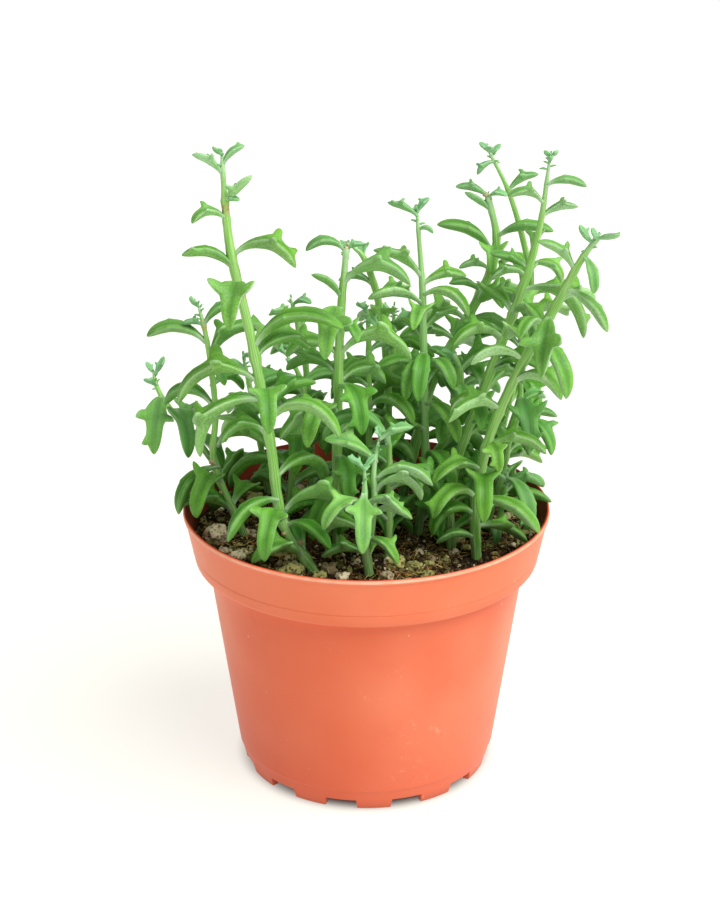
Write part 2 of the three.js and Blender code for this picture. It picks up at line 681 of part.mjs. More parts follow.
// Rings of corners round a stem, grown by a margin for the hole that it stands in.
function stemRings(shoot, margin = 0) {
  const knots = stemKnots(shoot);
  return knots.map(({ point, girth }, i) => {
    const ahead = knots[Math.min(i + 1, knots.length - 1)].point;
    const behind = knots[Math.max(i - 1, 0)].point;
    const along = ahead.clone().sub(behind).normalize();
    const across = new THREE.Vector3().crossVectors(new THREE.Vector3(0, 1, 0), along).normalize();
    const other = new THREE.Vector3().crossVectors(along, across);
    const middle = i === 0 ? point.clone().addScaledVector(along, -margin) : point;
    return Array.from({ length: stemSides }, (_, side) => {
      const angle = (2 * Math.PI * side) / stemSides;
      const corner = middle.clone().addScaledVector(across, (girth + margin) * Math.cos(angle));
      return corner.addScaledVector(other, (girth + margin) * Math.sin(angle));
    });
  });
}

function sleeveSolid(shoot) {
  const rings = stemRings(shoot, seatGap);
  const top = rings.findIndex((ring) => ring[0].z > sleeveTop);
  return ringMesh(rings.slice(0, top + 1));
}

function makeSoil() {
  const side = innerRadiusAt(soilEdge) - seatGap;
  const inset = wall + seatGap;
  const profile = [
    [0, floorTop + seatGap], [heelRadius - inset - 0.6, floorTop + seatGap],
    [heelRadius - inset, heelHeight], [shoulderRadius - inset, lipFoot + inset],
    [lipFootRadius - inset, lipFoot + inset], [side, soilEdge],
    ...soilRings.map((share) => [side * share, soilMiddle]), [0, soilMiddle],
  ];
  const geometry = turned(profile);
  const { position } = geometry.attributes;
  for (let i = 0; i < position.count; i += 1) {
    const onTop = position.getZ(i) > soilMiddle - 0.01;
    if (onTop) position.setZ(i, soilHeight(position.getX(i), position.getY(i)));
  }
  let soil = geometryToSolid(geometry);
  shoots.filter((shoot) => shoot.path[0][2] < soilMiddle).forEach((shoot) => {
    soil = soil.subtract(sleeveSolid(shoot));
  });
  return solidToMesh('soil', soil, colours.soil, 0.95);
}

function stationsOf(leaf) {
  const fin = leaf.finPlace;
  if (leaf.length < smallLeaf) return [0, fin];
  const isPlain = Math.max(leaf.finLeft, leaf.finRight) < leastFin;
  const stations = isPlain ? [0, ...plainStations] : [0, fin - finSpan[0], fin, fin + finSpan[1]];
  return leaf.length < mediumLeaf ? stations : [...stations, toothPlace];
}

// Half the width of a leaf's solid and the depth of its keel, at a share t of its length.
function leafSection(leaf, t) {
  if (t === 0) return [0.5 * leaf.stem, 0.4 * leaf.stem];
  const half = halfWidth(leaf, t);
  const width = leaf.tooth && t === toothPlace ? toothWidth * half : half;
  return [width, Math.max(thinnest, keelShare * half)];
}

// One leaf as rings of corners, left edge, right edge and keel, drawn out to its tip.
function leafSolid(leaf) {
  const spine = leafSpine(leaf);
  const rings = stationsOf(leaf).map((t) => {
    const place = spineAt(spine, t);
    const [half, depth] = leafSection(leaf, t);
    const keel = place.point.clone().addScaledVector(place.top, -depth);
    if (t === leaf.finPlace) return [finPoint(leaf, place, -1, 1), finPoint(leaf, place, 1, 1), keel];
    const middle = place.point.clone().addScaledVector(place.top, edgeShare * depth);
    const left = middle.clone().addScaledVector(place.side, -half);
    return [left, middle.addScaledVector(place.side, half), keel];
  });
  return ringMesh(rings, spine[spineSteps].point);
}

function makePlants() {
  const solids = new Map();
  growLeaves().forEach(({ shoot, leaves }) => {
    const parts = [ringMesh(stemRings(shoot)), ...leaves.map(leafSolid)];
    if (solids.has(shoot.name)) parts.push(solids.get(shoot.name));
    solids.set(shoot.name, parts.reduce((whole, part) => whole.add(part)));
  });
  return [...solids].map(([name, solid]) => solidToMesh(name, solid, colours.shoot, 0.45));
}

const group = new THREE.Group();
group.add(makePot(), makeSoil(), ...makePlants());

export default group;
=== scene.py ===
import json
import math

import bmesh
import bpy
import numpy as np
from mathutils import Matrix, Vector, noise

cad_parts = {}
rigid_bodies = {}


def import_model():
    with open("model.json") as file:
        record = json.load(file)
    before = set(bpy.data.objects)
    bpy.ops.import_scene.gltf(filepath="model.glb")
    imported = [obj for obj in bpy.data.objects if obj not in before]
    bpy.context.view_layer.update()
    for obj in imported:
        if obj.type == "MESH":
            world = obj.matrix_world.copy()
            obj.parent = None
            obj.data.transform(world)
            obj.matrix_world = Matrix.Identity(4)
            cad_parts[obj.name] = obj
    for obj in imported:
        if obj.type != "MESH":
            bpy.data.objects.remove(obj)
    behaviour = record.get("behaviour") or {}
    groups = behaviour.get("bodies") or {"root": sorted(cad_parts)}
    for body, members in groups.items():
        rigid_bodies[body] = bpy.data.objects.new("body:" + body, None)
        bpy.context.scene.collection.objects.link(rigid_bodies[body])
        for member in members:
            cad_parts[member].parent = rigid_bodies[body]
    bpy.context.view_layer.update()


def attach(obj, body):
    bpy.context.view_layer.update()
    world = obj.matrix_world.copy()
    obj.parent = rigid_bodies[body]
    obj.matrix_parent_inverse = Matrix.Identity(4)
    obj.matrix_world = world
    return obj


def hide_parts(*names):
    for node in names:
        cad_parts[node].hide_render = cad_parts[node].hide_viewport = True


# Potted string of dolphins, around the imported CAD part.
# Layout is in millimetres, +Z up, the plant's front towards -Y, the origin under the middle of the pot.
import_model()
milli = 0.001


# Camera, at the photograph's angle
view = {"place": (-2.64, -766.1, 442.3), "downTilt": 21.62, "lens": 80, "sensor": 36}


def setCamera():
    data = bpy.data.cameras.new("camera")
    data.lens, data.sensor_width = view["lens"], view["sensor"]
    camera = bpy.data.objects.new("camera", data)
    camera.location = Vector(view["place"]) * milli
    camera.rotation_euler = (math.radians(90 - view["downTilt"]), 0, 0)
    bpy.context.scene.collection.objects.link(camera)
    bpy.context.scene.camera = camera


# Numbers

def mix(a, b, t):
    return a + (b - a) * t


def smooth(t):
    k = np.clip(t, 0, 1)
    return k * k * (3 - 2 * k)


def makeDraw(seed):
    state = seed

    def draw():
        nonlocal state
        state = (state * 1664525 + 1013904223) % 4294967296
        return state / 4294967296

    return draw


# Meshes: a part is a dictionary of points in millimetres, faces, and attributes that its material reads

def ringFaces(rings, sides, closed=True):
    faces = []
    for ring in range(rings - 1):
        for side in range(sides if closed else sides - 1):
            a, b = ring * sides + side, ring * sides + (side + 1) % sides
            faces.append((a, b, b + sides, a + sides))
    return faces


def joinParts(parts):
    joined, faces, count = {}, [], 0
    for part in parts:
        faces += [tuple(corner + count for corner in face) for face in part["faces"]]
        count += len(part["points"])
    for key in parts[0]:
        if key != "faces":
            joined[key] = np.concatenate([part[key] for part in parts])
    joined["faces"] = faces
    return joined


def makeMesh(name, part):
    mesh = bpy.data.meshes.new(name)
    mesh.from_pydata((part["points"] * milli).tolist(), [], part["faces"])
    for key, values in part.items():
        if key in ("points", "faces"):
            continue
        flat = np.asarray(values, np.float32)
        kind, field = ("FLOAT", "value") if flat.ndim == 1 else ("FLOAT_VECTOR", "vector")
        mesh.attributes.new(key, kind, "POINT").data.foreach_set(field, flat.ravel())
    mesh.shade_smooth()
    mesh.update()
    return mesh


def addPiece(name, mesh, materials, node=None):
    piece = bpy.data.objects.new(name, mesh)
    bpy.context.scene.collection.objects.link(piece)
    for material in materials:
        if material.name not in [held.name for held in mesh.materials if held]:
            mesh.materials.append(material)
    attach(piece, "root")
    if node:
        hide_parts(node)
    return piece


# Trees of nodes, for geometry and for materials

def put(tree, kind, inputs=None, **settings):
    made = tree.nodes.new(kind)
    for key, value in settings.items():
        setattr(made, key, value)
    for key, value in (inputs or {}).items():
        if isinstance(value, bpy.types.NodeSocket):
            tree.links.new(value, made.inputs[key])
        else:
            made.inputs[key].default_value = value
    return made


def calculate(tree, operation, a, b=0.5, c=0.5, clamp=False):
    made = put(tree, "ShaderNodeMath", {0: a, 1: b, 2: c}, operation=operation, use_clamp=clamp)
    return made.outputs[0]


def product(tree, first, *others):
    for value in others:
        first = calculate(tree, "MULTIPLY", first, value)
    return first


def axesOf(tree, vector):
    return put(tree, "ShaderNodeSeparateXYZ", {0: vector}).outputs


def fromAxis(tree, spot):
    x, y, _ = axesOf(tree, spot)
    return calculate(tree, "SQRT", calculate(tree, "ADD", product(tree, x, x), product(tree, y, y)))


def rampOf(tree, value, low, high):
    made = put(tree, "ShaderNodeMapRange", {0: value, 1: low, 2: high}, interpolation_type="SMOOTHSTEP")
    return made.outputs[0]


def makeTree(name, kind, inputs, outputs):
    tree = bpy.data.node_groups.new(name, kind)
    for label, socketType, value in inputs:
        socket = tree.interface.new_socket(label, in_out="INPUT", socket_type="NodeSocket" + socketType)
        if value is not None:
            socket.default_value = value
    for label, socketType in outputs:
        tree.interface.new_socket(label, in_out="OUTPUT", socket_type="NodeSocket" + socketType)
    return tree, put(tree, "NodeGroupInput"), put(tree, "NodeGroupOutput")


def finishTree(tree, geometry, material, result):
    whole = put(tree, "GeometryNodeRealizeInstances", {"Geometry": geometry})
    done = put(tree, "GeometryNodeSetMaterial", {"Geometry": whole.outputs[0], "Material": material})
    tree.links.new(done.outputs[0], result.inputs[0])


def growMesh(name, host, tree, values):
    modifier = host.modifiers.new("grow", "NODES")
    modifier.node_group = tree
    for item in tree.interface.items_tree:
        if item.in_out == "INPUT" and item.name in values:
            modifier[item.identifier] = values[item.name]
    graph = bpy.context.evaluated_depsgraph_get()
    mesh = bpy.data.meshes.new_from_object(host.evaluated_get(graph), preserve_all_data_layers=True,
                                           depsgraph=graph)
    mesh.name = name
    bpy.data.objects.remove(host)
    return mesh


def addHost(mesh):
    host = bpy.data.objects.new(mesh.name, mesh)
    bpy.context.scene.collection.objects.link(host)
    return host


# A colour code such as "#ea6e48", as the linear colour that sockets take
def paint(code):
    channels = [int(code[i:i + 2], 16) / 255 for i in (1, 3, 5)]
    return (*[c / 12.92 if c <= 0.04045 else ((c + 0.055) / 1.055) ** 2.4 for c in channels], 1)


# The plant. Each shoot: radii at its root, where it starts to thin and at its tip, and waypoints of its
# middle line. Shoots that share a name fork. A leaf is (height of its node, facing, length, slope at its
# tip[, slope at its root[, share of its fins]]), with slopes and facing in degrees: 0 is right, 90 away,
# 180 left and 270 to the front. Fill is (from, to, gap, facing, longest) for leaves by rule.
shoots = [
    {"name": "stem_tall_left", "girth": (2.2, 1.8, 0.65),
     "path": [(-17, -41, 88), (-21, -40, 102), (-33.5, -38, 123), (-37.6, -35, 155), (-44, -32, 193),
              (-51.2, -29, 228), (-54, -26, 250), (-54.7, -24, 269)],
     "leaves": [(264, 15, 12, 5, 70), (268, 205, 5, 40), (265, 100, 6, 30), (260.5, 188, 15, 5, 62),
                (250, 338, 16, 35, 55), (250.5, 345, 8, -5, 40), (243.5, 190, 17, -65, 52),
                (230, 355, 31, -72), (223.5, 187, 25, -28, 62), (216, 268, 34, -92, 45, 1.35),
                (193, 352, 44, -40, 64), (189, 20, 30, -65, 60), (180, 175, 42, -80, 40),
                (173, 196, 42, -105, 15), (165, 35, 30, -30, 75), (163, 338, 42, -75, 60),
                (160, 190, 24, -80), (132, 222, 33, -80, 25, 0.1), (127, 350, 36, -60, 60),
                (122, 320, 26, -60, 30), (107, 190, 30, -45, 60)],
     "fill": (108, 200, 15.6, 90, 36)},
    {"name": "stem_left", "girth": (1.9, 1.15, 0.7),
     "path": [(-46, -6, 88), (-51, -4, 102), (-57, -2, 116), (-63, 0, 134), (-62, 3, 155), (-65, 6, 184),
              (-68, 8, 199)],
     "leaves": [(198, 200, 6, 60), (190.5, 190, 9, -30, 40), (183.5, 182, 28, -45), (190, 10, 20, -10, 65),
                (174, 12, 36, -40, 82), (165, 40, 22, -85, 40), (153, 10, 26, -70, 60),
                (140, 350, 30, -65, 60), (131.5, 212, 31, -110, 8, 0.1), (111, 190, 28, -40, 60),
                (114, 60, 26, -60)],
     "fill": (108, 180, 15.6, 100, 32)},
    {"name": "stem_left", "girth": (1.4, 0.9, 0.55),
     "path": [(-63, 0, 133), (-72, 12, 140), (-80, 24, 144), (-87, 35, 149), (-90, 40, 154),
              (-91, 42, 158)],
     "leaves": [(157.5, 150, 6, 60), (157, 40, 9, 55), (153, 185, 7, 10), (149, 255, 38, -96, 25, 1),
                (146, 295, 33, -95, 25), (141, 290, 26, -92, 0), (143, 80, 20, -70)]},
    {"name": "stem_left_mid", "girth": (1.5, 1.1, 0.6),
     "path": [(-36, 8, 88), (-34, 10, 102), (-31, 12, 122), (-28, 14, 140), (-26, 16, 157), (-29, 17, 168),
              (-33, 18, 174)],
     "leaves": [(174, 170, 7, 40), (173, 60, 8, 30), (170, 210, 7, 20), (164, 195, 28, -95, 25),
                (160, 30, 24, -60), (137, 345, 37, -65, 55), (124, 190, 38, -90), (145, 110, 26, -60),
                (117, 30, 26, -60), (114, 150, 26, -50)],
     "fill": (107, 165, 14, 0, 32)},
    {"name": "stem_centre_left", "girth": (2.1, 1.7, 1.1),
     "path": [(-13, -21, 88), (-12, -19, 102), (-12, -16, 122), (-12, -14, 150), (-11, -13, 180),
              (-10, -11, 205), (-8, -10, 229)],
     "leaves": [(227, 10, 8, -20), (226.5, 186, 19, -58, 52), (207, 180, 17, 5, 72),
                (213, 350, 34, -60, 58), (203, 255, 34, -92, 25, 1.2), (184, 350, 38, -70, 60),
                (172, 300, 32, -92, 20), (176, 150, 28, -60), (155, 200, 30, -70), (150, 40, 30, -60),
                (142, 290, 28, -88, 15), (118, 200, 28, -50), (114, 20, 24, -50)],
     "fill": (106, 200, 12.8, 60, 34)},
    {"name": "stem_front", "girth": (2, 1.2, 0.6),
     "path": [(2, -43, 88), (1, -42, 102), (0, -42, 112), (-1, -43, 126), (-1, -44, 139), (-1, -45, 149)],
     "leaves": [(149, 170, 8, 20), (149, 30, 7, 40), (148, 260, 7, 0), (134, 195, 25, -75, 30),
                (138, 268, 30, -80, 0), (118, 320, 20, -70, 20), (110, 185, 21, -50)],
     "fill": (107, 140, 12, 60, 28)},
    {"name": "stem_front", "girth": (1.4, 1, 0.6),
     "path": [(0, -42, 111), (2, -40, 121), (3, -38, 134), (3, -37, 145), (5, -35, 158)],
     "leaves": [(158, 100, 5, 50), (157, 5, 15, -10), (148, 180, 24, -5, 50), (141, 345, 28, -60, 50),
                (136, 355, 28, -95, 60), (127, 340, 20, -45)]},
    {"name": "stem_centre_short", "girth": (1.7, 1.2, 0.7),
     "path": [(10, -29, 88), (9, -28, 102), (9, -26, 125), (9, -25, 145), (9, -25, 156)],
     "leaves": [(155, 20, 8, 20), (150, 195, 40, -80, 75, 0.1), (133, 350, 31, -90, 60),
                (140, 110, 24, -60), (118, 60, 24, -60)],
     "fill": (106, 150, 12, 90, 32)},
    {"name": "stem_centre_right", "girth": (1.9, 1.3, 0.7),
     "path": [(21, -1, 88), (22, 0, 102), (24, 2, 130), (24, 4, 160), (23, 5, 189), (22, 7, 215),
              (20, 8, 238)],
     "leaves": [(236, 180, 13.5, -5, 45), (237, 20, 8, 20, 70), (236, 100, 5, 50), (230, 335, 8, -75, 50),
                (211, 178, 24, -5, 60), (207.5, 5, 20, -30, 45), (203.5, 338, 26, -78, 35),
                (200, 192, 26, -30), (188.5, 10, 18, 0, 62), (179, 268, 31, -86, 20),
                (176, 245, 26, -88, 20), (172, 185, 22, -40), (158, 345, 30, -80, 20), (165, 60, 28, -60),
                (146, 210, 28, -70), (124, 262, 34, -68, 10), (113, 300, 22, -30), (118, 130, 28, -60)],
     "fill": (106, 205, 12.8, 20, 34)},
    {"name": "stem_right_cut", "girth": (2.2, 1.9, 1.15),
     "path": [(13, 26, 88), (15, 27, 102), (20, 28, 125), (28, 30, 158), (40, 31, 181), (50, 31, 202),
              (53.5, 30, 220), (49.5, 30, 239)],
     "leaves": [(238, 180, 15, -15), (232, 182, 14, 20, 50, 0.1), (238, 350, 9, -40),
                (214, 190, 29, -12, 62), (221, 352, 26, -28, 42, 0.1), (216, 264, 20, -95, 30, 1.5),
                (207, 190, 15, -40), (199, 322, 40, -86, 10), (197, 192, 16, -25, 55), (182, 350, 26, -70),
                (176, 190, 28, -50), (168, 60, 28, -60), (160, 300, 26, -60), (140, 120, 28, -60),
                (130, 0, 28, -60), (125, 200, 26, -60)],
     "fill": (106, 200, 12.8, 90, 36)},
    {"name": "stem_thin_right", "girth": (1.8, 1.25, 0.6),
     "path": [(50, 36, 88), (52, 37, 102), (58, 39, 130), (65, 40, 165), (69, 37, 198), (65, 34, 217),
              (58, 31, 240), (49, 27, 258)],
     "leaves": [(257, 150, 6, 20), (256, 30, 6, 30), (257, 270, 5, 30), (253, 205, 10, -75, 5),
                (240, 5, 15, -5, 60), (216, 170, 9, 10), (207, 340, 20, -95, 35), (194, 190, 22, -60),
                (182, 30, 26, -60), (170, 150, 28, -60), (156, 215, 26, -60), (142, 60, 28, -60),
                (128, 190, 28, -60), (116, 20, 28, -60)],
     "fill": (107, 215, 13.8, 240, 32)},
    {"name": "stem_tall_right", "girth": (2.2, 1.65, 0.6),
     "path": [(35, -15, 88), (35, -14, 102), (34, -10, 121), (38, -7, 140), (51, -3, 177), (61, -2, 205),
              (68, -2, 234), (71.5, -2, 263)],
     "leaves": [(262, 200, 4, 40), (262, 0, 4, 40), (260, 270, 5, 30), (258, 120, 5, 30),
                (251, 355, 17, -40, 30, 0.1), (243.5, 188, 17, -42, 58), (238, 10, 16, -20),
                (217, 172, 17, 0, 40), (214, 200, 18, -60), (224, 80, 18, -40),
                (208, 338, 40, -98, 25, 1.15), (198, 120, 28, -60), (188, 190, 26, -60),
                (176, 340, 28, -60), (166, 100, 30, -60), (152, 190, 30, -70), (130, 200, 26, -60),
                (118, 20, 22, -50)],
     "fill": (106, 215, 12.8, 60, 34)},
    {"name": "stem_lean_right", "girth": (2.2, 1.75, 0.75),
     "path": [(46, -26, 88), (45, -26, 102), (44, -26, 128), (49, -26, 155), (60, -27, 184), (72, -28, 208),
              (81, -30, 227), (88, -30, 238)],
     "leaves": [(237, 0, 12, 10, 25), (237, 280, 6, 0), (237, 120, 5, 40), (235, 140, 9, 60),
                (230, 290, 17, -100, -15, 0.1), (224, 170, 20, 0, 70), (217, 330, 25, -72, -10),
                (210, 30, 22, -60), (205, 262, 33, -88, 10, 1.3), (193, 297, 35, -98, 25, 0.1),
                (187, 180, 25, -60), (166, 200, 28, -60), (150, 350, 28, -60), (140, 180, 26, -60),
                (128, 335, 32, -58, 15, 0.1), (116, 342, 25, -60, 10), (128, 205, 30, -82, 55, 0.1),
                (110, 200, 20, -50)],
     "fill": (106, 205, 13.8, 0, 34)},
    {"name": "stem_right", "girth": (1.8, 1.3, 0.7),
     "path": [(49, 4, 88), (50, 4, 102), (56, 4, 125), (60, 4, 147), (63, 3, 162), (61, 2, 173)],
     "leaves": [(173, 180, 8, 0), (172, 20, 8, 20), (171, 300, 8, -10), (168, 340, 10, -30),
                (160, 262, 35, -75, 20), (150, 0, 20, -40), (147, 320, 29, -98), (124, 205, 30, -75, 50),
                (135, 100, 26, -60), (116, 350, 26, -50, 30)],
     "fill": (106, 165, 12.8, 200, 32)},
    {"name": "stem_right_low", "girth": (1.5, 1.1, 0.7),
     "path": [(54, -8, 88), (54, -8, 102), (56, -7, 118), (58, -6, 132)],
     "leaves": [(129, 340, 32, -115, 10, 0.1), (128, 150, 28, -70), (122, 40, 26, -80),
                (118, 250, 22, -60)],
     "fill": (107, 128, 8.8, 80, 30)},
    {"name": "stem_lean_back", "girth": (1.8, 1.5, 1.1),
     "path": [(20, 18, 88), (21, 18, 102), (23, 17, 120), (32, 11, 138), (37, 5, 158), (38, 2, 172),
              (35, 0, 181)],
     "leaves": [(180, 200, 6, 0), (173, 180, 18, -15, 55), (170, 0, 26, -30, 70), (166, 318, 22, -60, 20),
                (158, 100, 26, -60), (150, 330, 30, -60), (143, 190, 26, -60), (128, 60, 26, -60),
                (118, 330, 24, -50)],
     "fill": (106, 170, 12.8, 140, 32)},
    {"name": "stem_back_left", "girth": (1.7, 1.3, 0.65),
     "path": [(-24, 38, 88), (-24, 40, 102), (-24, 42, 130), (-26, 43, 160), (-29, 43, 179),
              (-32, 43, 191)],
     "fill": (105, 190, 9.6, 40, 34)},
    {"name": "stem_back_centre", "girth": (1.8, 1.4, 0.7),
     "path": [(0, 20, 88), (3, 20, 102), (8, 21, 130), (9, 22, 155), (6, 24, 190), (0, 26, 211),
              (-7, 27, 219)],
     "fill": (105, 218, 9.6, 100, 36)},
    {"name": "stem_small_centre", "girth": (1.6, 1.2, 0.6),
     "path": [(2, 2, 88), (2, 3, 102), (1, 4, 130), (1, 5, 160), (1, 7, 184), (0, 8, 198)],
     "fill": (106, 197, 9.6, 0, 32)},
    {"name": "stem_far_left", "girth": (1.6, 1.2, 0.6),
     "path": [(-43, 40, 88), (-43, 42, 102), (-46, 44, 125), (-50, 45, 148), (-53, 45, 165)],
     "fill": (105, 164, 9.6, 70, 33)},
    {"name": "stem_far_centre", "girth": (1.7, 1.3, 0.65),
     "path": [(5, 52, 88), (5, 53, 102), (8, 53, 130), (11, 53, 160), (12, 52, 185)],
     "fill": (105, 184, 9.6, 10, 35)},
    {"name": "stem_far_right", "girth": (1.6, 1.2, 0.6),
     "path": [(36, 46, 88), (37, 47, 102), (38, 48, 125), (38, 49, 150), (37, 50, 172)],
     "fill": (105, 171, 9.6, 200, 34)},
]

growth = {"seed": 11, "knotSpacing": 23, "girthAt": (0, 0.75, 1),
          "usualRise": 45, "lowestFall": -115, "mostSwing": 15, "mostRoll": 30, "toothChance": 0.25,
          # leaves by rule grow shorter, closer and more upright over the last stretch of a shoot
          "goldenTurn": 137.5, "fillRise": 50, "fillFall": (-30, -95), "fallRate": 1.5,
          "fillLength": (0.9, 1.1), "topLength": (0.25, 1.3), "topGap": (0.45, 0.6, 1.6),
          # balls stand for stems and leaves while room is sought, two side by side in a wide blade
          "ballsPerSpan": 8, "wideBlade": 1.4, "ballAside": 0.42, "ballShare": 0.66,
          "finBall": (0.45, 0.16, 0.2), "finTipBall": 0.9,
          "roomToOthers": 0.8, "rootShare": 0.3, "nearby": 9, "spread": (96, 75.5),
          # turn, droop and length that a leaf tries in this order, until it is clear
          "bends": [(0, 0, 1), (12, 0, 1), (-12, 0, 1), (0, 15, 1), (0, -15, 1), (25, 0, 1), (-25, 0, 1),
                    (12, 15, 0.95), (-12, 15, 0.95), (40, 0, 0.95), (-40, 0, 0.95), (0, 30, 0.9),
                    (0, -25, 0.85), (60, 0, 0.9), (-60, 0, 0.9), (0, 0, 0.75), (25, 20, 0.75),
                    (-25, 20, 0.75), (90, 0, 0.8), (-90, 0, 0.8), (0, 0, 0.55), (45, 0, 0.6),
                    (-45, 0, 0.6), (130, 0, 0.6), (-130, 0, 0.6), (180, 0, 0.5)]}
blade = {"steps": 14, "widest": 3.5, "widthShare": 0.085, "leastBlade": 0.65, "thinnest": 0.5,
         "widestStalk": 1.1, "stalkShare": 0.35, "leastStalk": 0.15, "stalkEnd": 0.04, "widening": 0.42,
         "taperStart": 0.55, "taperPower": 2.7,
         "finPlace": (0.42, 0.62), "finTilt": math.radians(40), "longestFin": 6.5, "finShare": 0.175,
         "finScale": (0.8, 1.25), "plainChance": 0.3, "plainFin": 0.12,
         "edgeShare": 0.3, "crown": 0.24, "groove": 0.3, "grooveWidth": 0.34}
potShape = {"rimRadius": 76.2, "height": 115, "wall": 1.3, "beadHeight": 2.4, "lipFoot": 92.8,
            "lipFootRadius": 71.5, "shoulderRadius": 66.4, "heelRadius": 54.8, "heelHeight": 9.5,
            "footRadius": 52.2, "footWall": 2.6, "floorBottom": 4.6, "floorTop": 6.2,
            "creaseHeight": 98.2, "crease": 0.16, "notchCount": 12, "notchWidth": 13.5, "notchHeight": 4,
            "firstNotch": 258.5, "notchRound": 0.5, "drainCount": 6, "drainRadius": 3, "drainRing": 34}
soilShape = {"edge": 102.4, "middle": 101.2, "gap": 0.35, "roll": 0.8, "flatEdge": 6,
             "broadWave": (0.21, 0.17), "slantWave": (0.33, 0.1), "slantShare": 0.5}


def lineLength(path):
    return np.linalg.norm(np.diff(path, axis=0), axis=1).sum()


def linePoints(path, share):
    path = np.asarray(path, float)
    spans = len(path) - 1
    share = np.atleast_1d(share)
    k = np.minimum((share * spans).astype(int), spans - 1)
    t = (share * spans - k)[:, None]
    start, end = path[k], path[k + 1]
    before = np.where((k > 0)[:, None], path[np.maximum(k - 1, 0)], 2 * start - end)
    after = np.where((k + 2 <= spans)[:, None], path[np.minimum(k + 2, spans)], 2 * end - start)
    cubic = (3 * start - before - 3 * end + after) * t ** 3
    square = (2 * before - 5 * start + 4 * end - after) * t ** 2
    return 0.5 * (2 * start + (end - before) * t + square + cubic)


def stemKnots(shoot):
    path = np.asarray(shoot["path"], float)
    share = np.arange(int(lineLength(path) / growth["knotSpacing"] + 0.5) + 1)
    share = share / share[-1]
    return linePoints(path, share), np.interp(share, growth["girthAt"], shoot["girth"])


def stemAtHeight(knots, height):
    points, girths = knots
    k = 0
    while k + 2 < len(points) and points[k + 1][2] < height:
        k += 1
    share = min(1, (height - points[k][2]) / (points[k + 1][2] - points[k][2]))
    return mix(points[k], points[k + 1], share), mix(girths[k], girths[k + 1], share)


def rowsByRule(shoot, draw):
    start, stop, gap, turn, reach = shoot["fill"]
    top = shoot["path"][-1][2]
    shortest, lengthRate = growth["topLength"]
    closest, more, gapRate = growth["topGap"]
    rows, facing, height = [], turn, start
    while height < stop:
        left = (top - height) / (top - start)
        length = reach * min(1, shortest + lengthRate * left) * mix(*growth["fillLength"], draw())
        fall = mix(*growth["fillFall"], min(1, growth["fallRate"] * left))
        rows.append((height, facing % 360, length, fall, growth["fillRise"]))
        height += gap * (closest + more * min(1, gapRate * left))
        facing += growth["goldenTurn"]
    return rows


def leafAxes(leaf, t):
    slope = np.radians(mix(leaf["rise"], leaf["fall"], 0.5 * t + 0.5 * smooth(t)))
    turn = np.radians(leaf["facing"] + leaf["swing"] * t)
    roll = np.radians(leaf["roll"] * t)[:, None]
    along = np.stack([np.cos(slope) * np.cos(turn), np.cos(slope) * np.sin(turn), np.sin(slope)], 1)
    level = np.stack([np.sin(turn), -np.cos(turn), 0 * turn], 1)
    upper = np.cross(level, along)
    side = level * np.cos(roll) + upper * np.sin(roll)
    top = upper * np.cos(roll) - level * np.sin(roll)
    return along, side, top


def leafSpine(leaf):
    t = np.arange(blade["steps"] + 1) / blade["steps"]
    along, side, top = leafAxes(leaf, t)
    steps = along[:-1] * (leaf["length"] / blade["steps"])
    return t, np.cumsum(np.vstack([leaf["root"], steps]), axis=0), side, top


def halfWidth(length, t):
    widest = min(blade["widest"], blade["widthShare"] * length + blade["leastBlade"])
    stalk = min(blade["widestStalk"], blade["stalkShare"] * widest + blade["leastStalk"])
    width = mix(stalk, widest, smooth((t - blade["stalkEnd"]) / blade["widening"]))
    taper = np.maximum(0, t - blade["taperStart"]) / (1 - blade["taperStart"])
    return width * (1 - taper ** blade["taperPower"])


def finReach(leaf):
    return min(blade["longestFin"], blade["finShare"] * leaf["length"])


def leafBalls(leaf):
    t, point, side, top = leafSpine(leaf)
    half = np.maximum(blade["thinnest"], halfWidth(leaf["length"], t))
    pair = half > growth["wideBlade"]
    offset = (side * half[:, None] * growth["ballAside"])[pair]
    paired = growth["ballShare"] * half[pair]
    centres = [point[~pair], point[pair] - offset, point[pair] + offset]
    radii, times = [half[~pair], paired, paired], [t[~pair], t[pair], t[pair]]
    scaled = leaf["finPlace"] * blade["steps"]
    k = int(scaled)
    place, out, up = [mix(a[k], a[k + 1], scaled - k) for a in (point, side, top)]
    out, up = out / np.linalg.norm(out), up / np.linalg.norm(up)
    middle = halfWidth(leaf["length"], np.array([leaf["finPlace"]]))[0]
    halfway, radiusShare, leastRadius = growth["finBall"]
    finBalls = ((halfway, radiusShare * finReach(leaf) + leastRadius),
                (growth["finTipBall"], blade["thinnest"]))
    for sign, scale in ((-1, leaf["finLeft"]), (1, leaf["finRight"])):
        for share, radius in finBalls:
            reach = finReach(leaf) * scale * share
            spot = place + out * sign * (middle + reach * math.cos(blade["finTilt"]))
            centres.append((spot + up * reach * math.sin(blade["finTilt"]))[None])
            radii.append([radius])
            times.append([leaf["finPlace"]])
    return np.concatenate(centres), np.concatenate(radii), np.concatenate(times)


def soilHeight(x, y):
    out = np.hypot(x, y) / potShape["shoulderRadius"]
    (broadX, broadY), (slantY, slantX) = soilShape["broadWave"], soilShape["slantWave"]
    roll = np.sin(broadX * x + 1) * np.cos(broadY * y)
    roll = roll + soilShape["slantShare"] * np.sin(slantY * y - slantX * x)
    level = mix(soilShape["middle"], soilShape["edge"], np.minimum(1, out * out))
    return level + soilShape["roll"] * roll * (1 - np.minimum(1, out ** soilShape["flatEdge"]))


